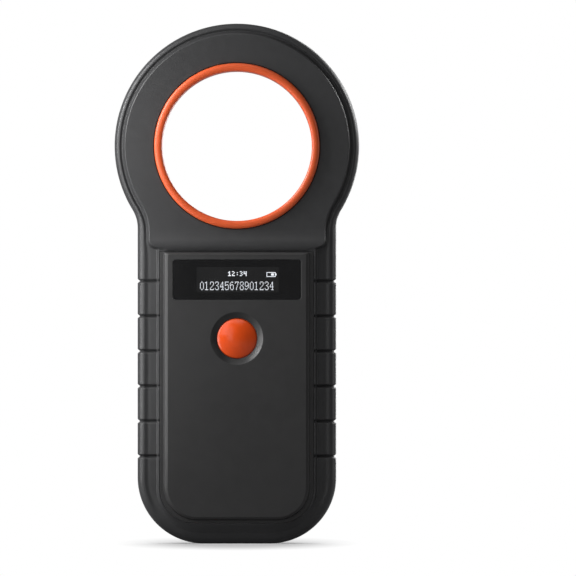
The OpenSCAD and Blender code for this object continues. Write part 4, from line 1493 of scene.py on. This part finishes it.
# pieces whose finish differs from their slot's
OWN_FINISH = {
    # the mask's near black is its print; its weak emission is a painted glow, not light of its own
    make_mask: moulded("mask_print_painted_glow", (0.0012, 0.0012, 0.0013), rough=0.5, mottle=0.05,
                       Specular_IOR_Level=0.05, Emission_Color=(1.0, 1.0, 1.02),
                       Emission_Strength=0.017),
    make_characters: lit_dots("display_lit_dots"),
}


def give(ob, material):
    ob.data.materials.clear()
    ob.data.materials.append(material)


def dress_cad(ob):
    """Puts a material in each slot of a CAD piece. A slot without one takes the piece's
    first known material."""
    slots = [m.name.split(".")[0] for m in ob.data.materials if m]
    known = [s for s in slots if s in MATERIALS]
    fallback = known[0] if known else "shell_black"
    for i in range(len(ob.material_slots)):
        slot = slots[i] if i < len(slots) and slots[i] in MATERIALS else fallback
        ob.material_slots[i].link = "OBJECT"
        ob.material_slots[i].material = MATERIALS[slot]


for cad_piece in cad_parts.values():
    dress_cad(cad_piece)
for ob, (make, slot, _) in zip(built, PIECES):
    give(ob, OWN_FINISH.get(make, MATERIALS[slot]))


# ---- floor and world, in metres -------------------------------------------------
def floor_paper():
    """White paper round the foot that fades to plain white, and is clear from below."""
    n = Paint("floor_paper")
    stretched = n.add("ShaderNodeVectorMath", n.place, (3.4, 1.0, 1.0), operation="MULTIPLY")
    reach = n.add("ShaderNodeVectorMath", stretched.outputs[0], operation="LENGTH")
    far = n.ramp(reach.outputs["Value"], span=(0.05, 0.115))
    seen = n.add("ShaderNodeLightPath").outputs["Is Camera Ray"]
    tone = n.mix(n.ramp(n.noise(scale=700, detail=4)), (0.80, 0.80, 0.81), (0.84, 0.84, 0.845))
    paper = n.add("ShaderNodeBsdfPrincipled", Roughness=0.85,
                  Base_Color=n.mix(seen, (0.45, 0.45, 0.46), tone),
                  Normal=n.bump(n.noise(scale=1800), strength=0.1, distance=2e-5),
                  Emission_Color=(1, 1, 1), Emission_Strength=n.calc("MULTIPLY", seen, 0.26))
    white = n.add("ShaderNodeEmission", Strength=1.0)
    clear = n.add("ShaderNodeBsdfTransparent")
    below = n.add("ShaderNodeNewGeometry").outputs["Backfacing"]
    top = n.blend(n.calc("MULTIPLY", far, seen), paper.outputs[0], white.outputs[0])
    n.finish(n.blend(below, top, clear.outputs[0]))
    return n.material


def make_floor():
    radius, level = 2.4, -0.00002
    mesh = bpy.data.meshes.new("floor_disc")
    rim = [(radius * math.cos(a), radius * math.sin(a), level)
           for a in np.linspace(0, 2 * math.pi, 97)[:-1]]
    mesh.from_pydata(rim, [], [tuple(range(96))])
    disc = new_object("floor_disc", mesh)
    give(disc, floor_paper())
    disc.visible_shadow = False
    return disc


def make_world():
    """Pure white to the camera and a weak white fill to everything else."""
    world = bpy.data.worlds.new("studio")
    bpy.context.scene.world = world
    n = Nodes(world, "ShaderNodeOutputWorld")
    fill_light = n.add("ShaderNodeBackground", Color=(1.0, 1.0, 1.0), Strength=0.078)
    backdrop = n.add("ShaderNodeBackground", Color=(1, 1, 1), Strength=1.0)
    seen = n.add("ShaderNodeLightPath").outputs["Is Camera Ray"]
    n.finish(n.blend(seen, fill_light.outputs[0], backdrop.outputs[0]))


floor = make_floor()
make_world()

# ---- lights, in metres and watts ------------------------------------------------
# The object's lights leave the floor out; the floor has its own.
without_floor = bpy.data.collections.new("floor_excluded")
without_floor.objects.link(floor)
for member in without_floor.collection_objects:
    member.light_linking.link_state = "EXCLUDE"
only_floor = bpy.data.collections.new("floor_only")
only_floor.objects.link(floor)

MIDDLE = (0.0, 0.0, 0.09)
FOOT = (0.0, 0.0, 0.0)
# name, place, aim, width, height, power
OBJECT_LIGHTS = [
    ("left_side", (-0.30, -0.08, 0.12), MIDDLE, 0.06, 0.30, 0.62),
    ("left_high", (-0.26, -0.06, 0.26), (0.0, 0.0, 0.12), 0.08, 0.20, 0.88),
    ("left_front", (-0.17, -0.55, 0.12), MIDDLE, 0.10, 0.50, 0.24),
    ("near_left", (-0.06, -0.045, 0.10), (-0.01, 0.0, 0.10), 0.02, 0.16, 0.042),
    ("near_front", (-0.05, -0.08, 0.12), (-0.01, 0.0, 0.11), 0.03, 0.10, 0.017),
    ("top_front", (0.0, -0.30, 0.42), MIDDLE, 0.30, 0.16, 0.20),
    ("right_side", (0.30, -0.03, 0.14), MIDDLE, 0.05, 0.30, 0.11),
    ("right_back", (0.28, 0.12, 0.22), (0.0, 0.0, 0.12), 0.05, 0.12, 0.60),
    ("rear_key", (0.22, 0.50, 0.16), MIDDLE, 0.25, 0.45, 1.45),
    ("rear_fill", (-0.16, 0.55, 0.22), MIDDLE, 0.30, 0.30, 0.30),
    ("overhead", (0.0, 0.02, 0.58), FOOT, 0.34, 0.30, 0.22),
]
FLOOR_LIGHTS = [
    ("floor_back", (0.0, 0.42, 0.34), FOOT, 0.30, 0.16, 1.6),
    ("floor_front", (0.0, -0.42, 0.40), FOOT, 0.30, 0.16, 1.2),
]


def area_light(name, place, aim, width, height, power, receivers):
    light = bpy.data.lights.new(name, "AREA")
    light.shape = "RECTANGLE"
    light.size, light.size_y = width, height
    light.energy = power
    ob = new_object(name, light)
    ob.location = place
    direction = Vector(aim) - ob.location
    ob.rotation_euler = direction.to_track_quat("-Z", "Y").to_euler()
    ob.visible_camera = False
    ob.light_linking.receiver_collection = receivers


for rows, receivers in ((OBJECT_LIGHTS, without_floor), (FLOOR_LIGHTS, only_floor)):
    for row in rows:
        area_light(*row, receivers)


# ---- camera, in metres ----------------------------------------------------------
def make_camera():
    """A long lens level with the object, looking along +y."""
    distance, sensor, view_width = 4.0, 36.0, 0.15955
    data = bpy.data.cameras.new("camera")
    camera = new_object("camera", data)
    data.sensor_width = sensor
    data.lens = sensor * distance / view_width
    data.clip_start, data.clip_end = 0.1, 20.0
    camera.location = (0.01414, -distance - 0.006, 0.07077)
    camera.rotation_euler = (math.pi / 2, 0, 0)
    bpy.context.scene.camera = camera


make_camera()
bpy.context.scene.view_settings.view_transform = "Standard"
bpy.context.scene.view_settings.look = "None"
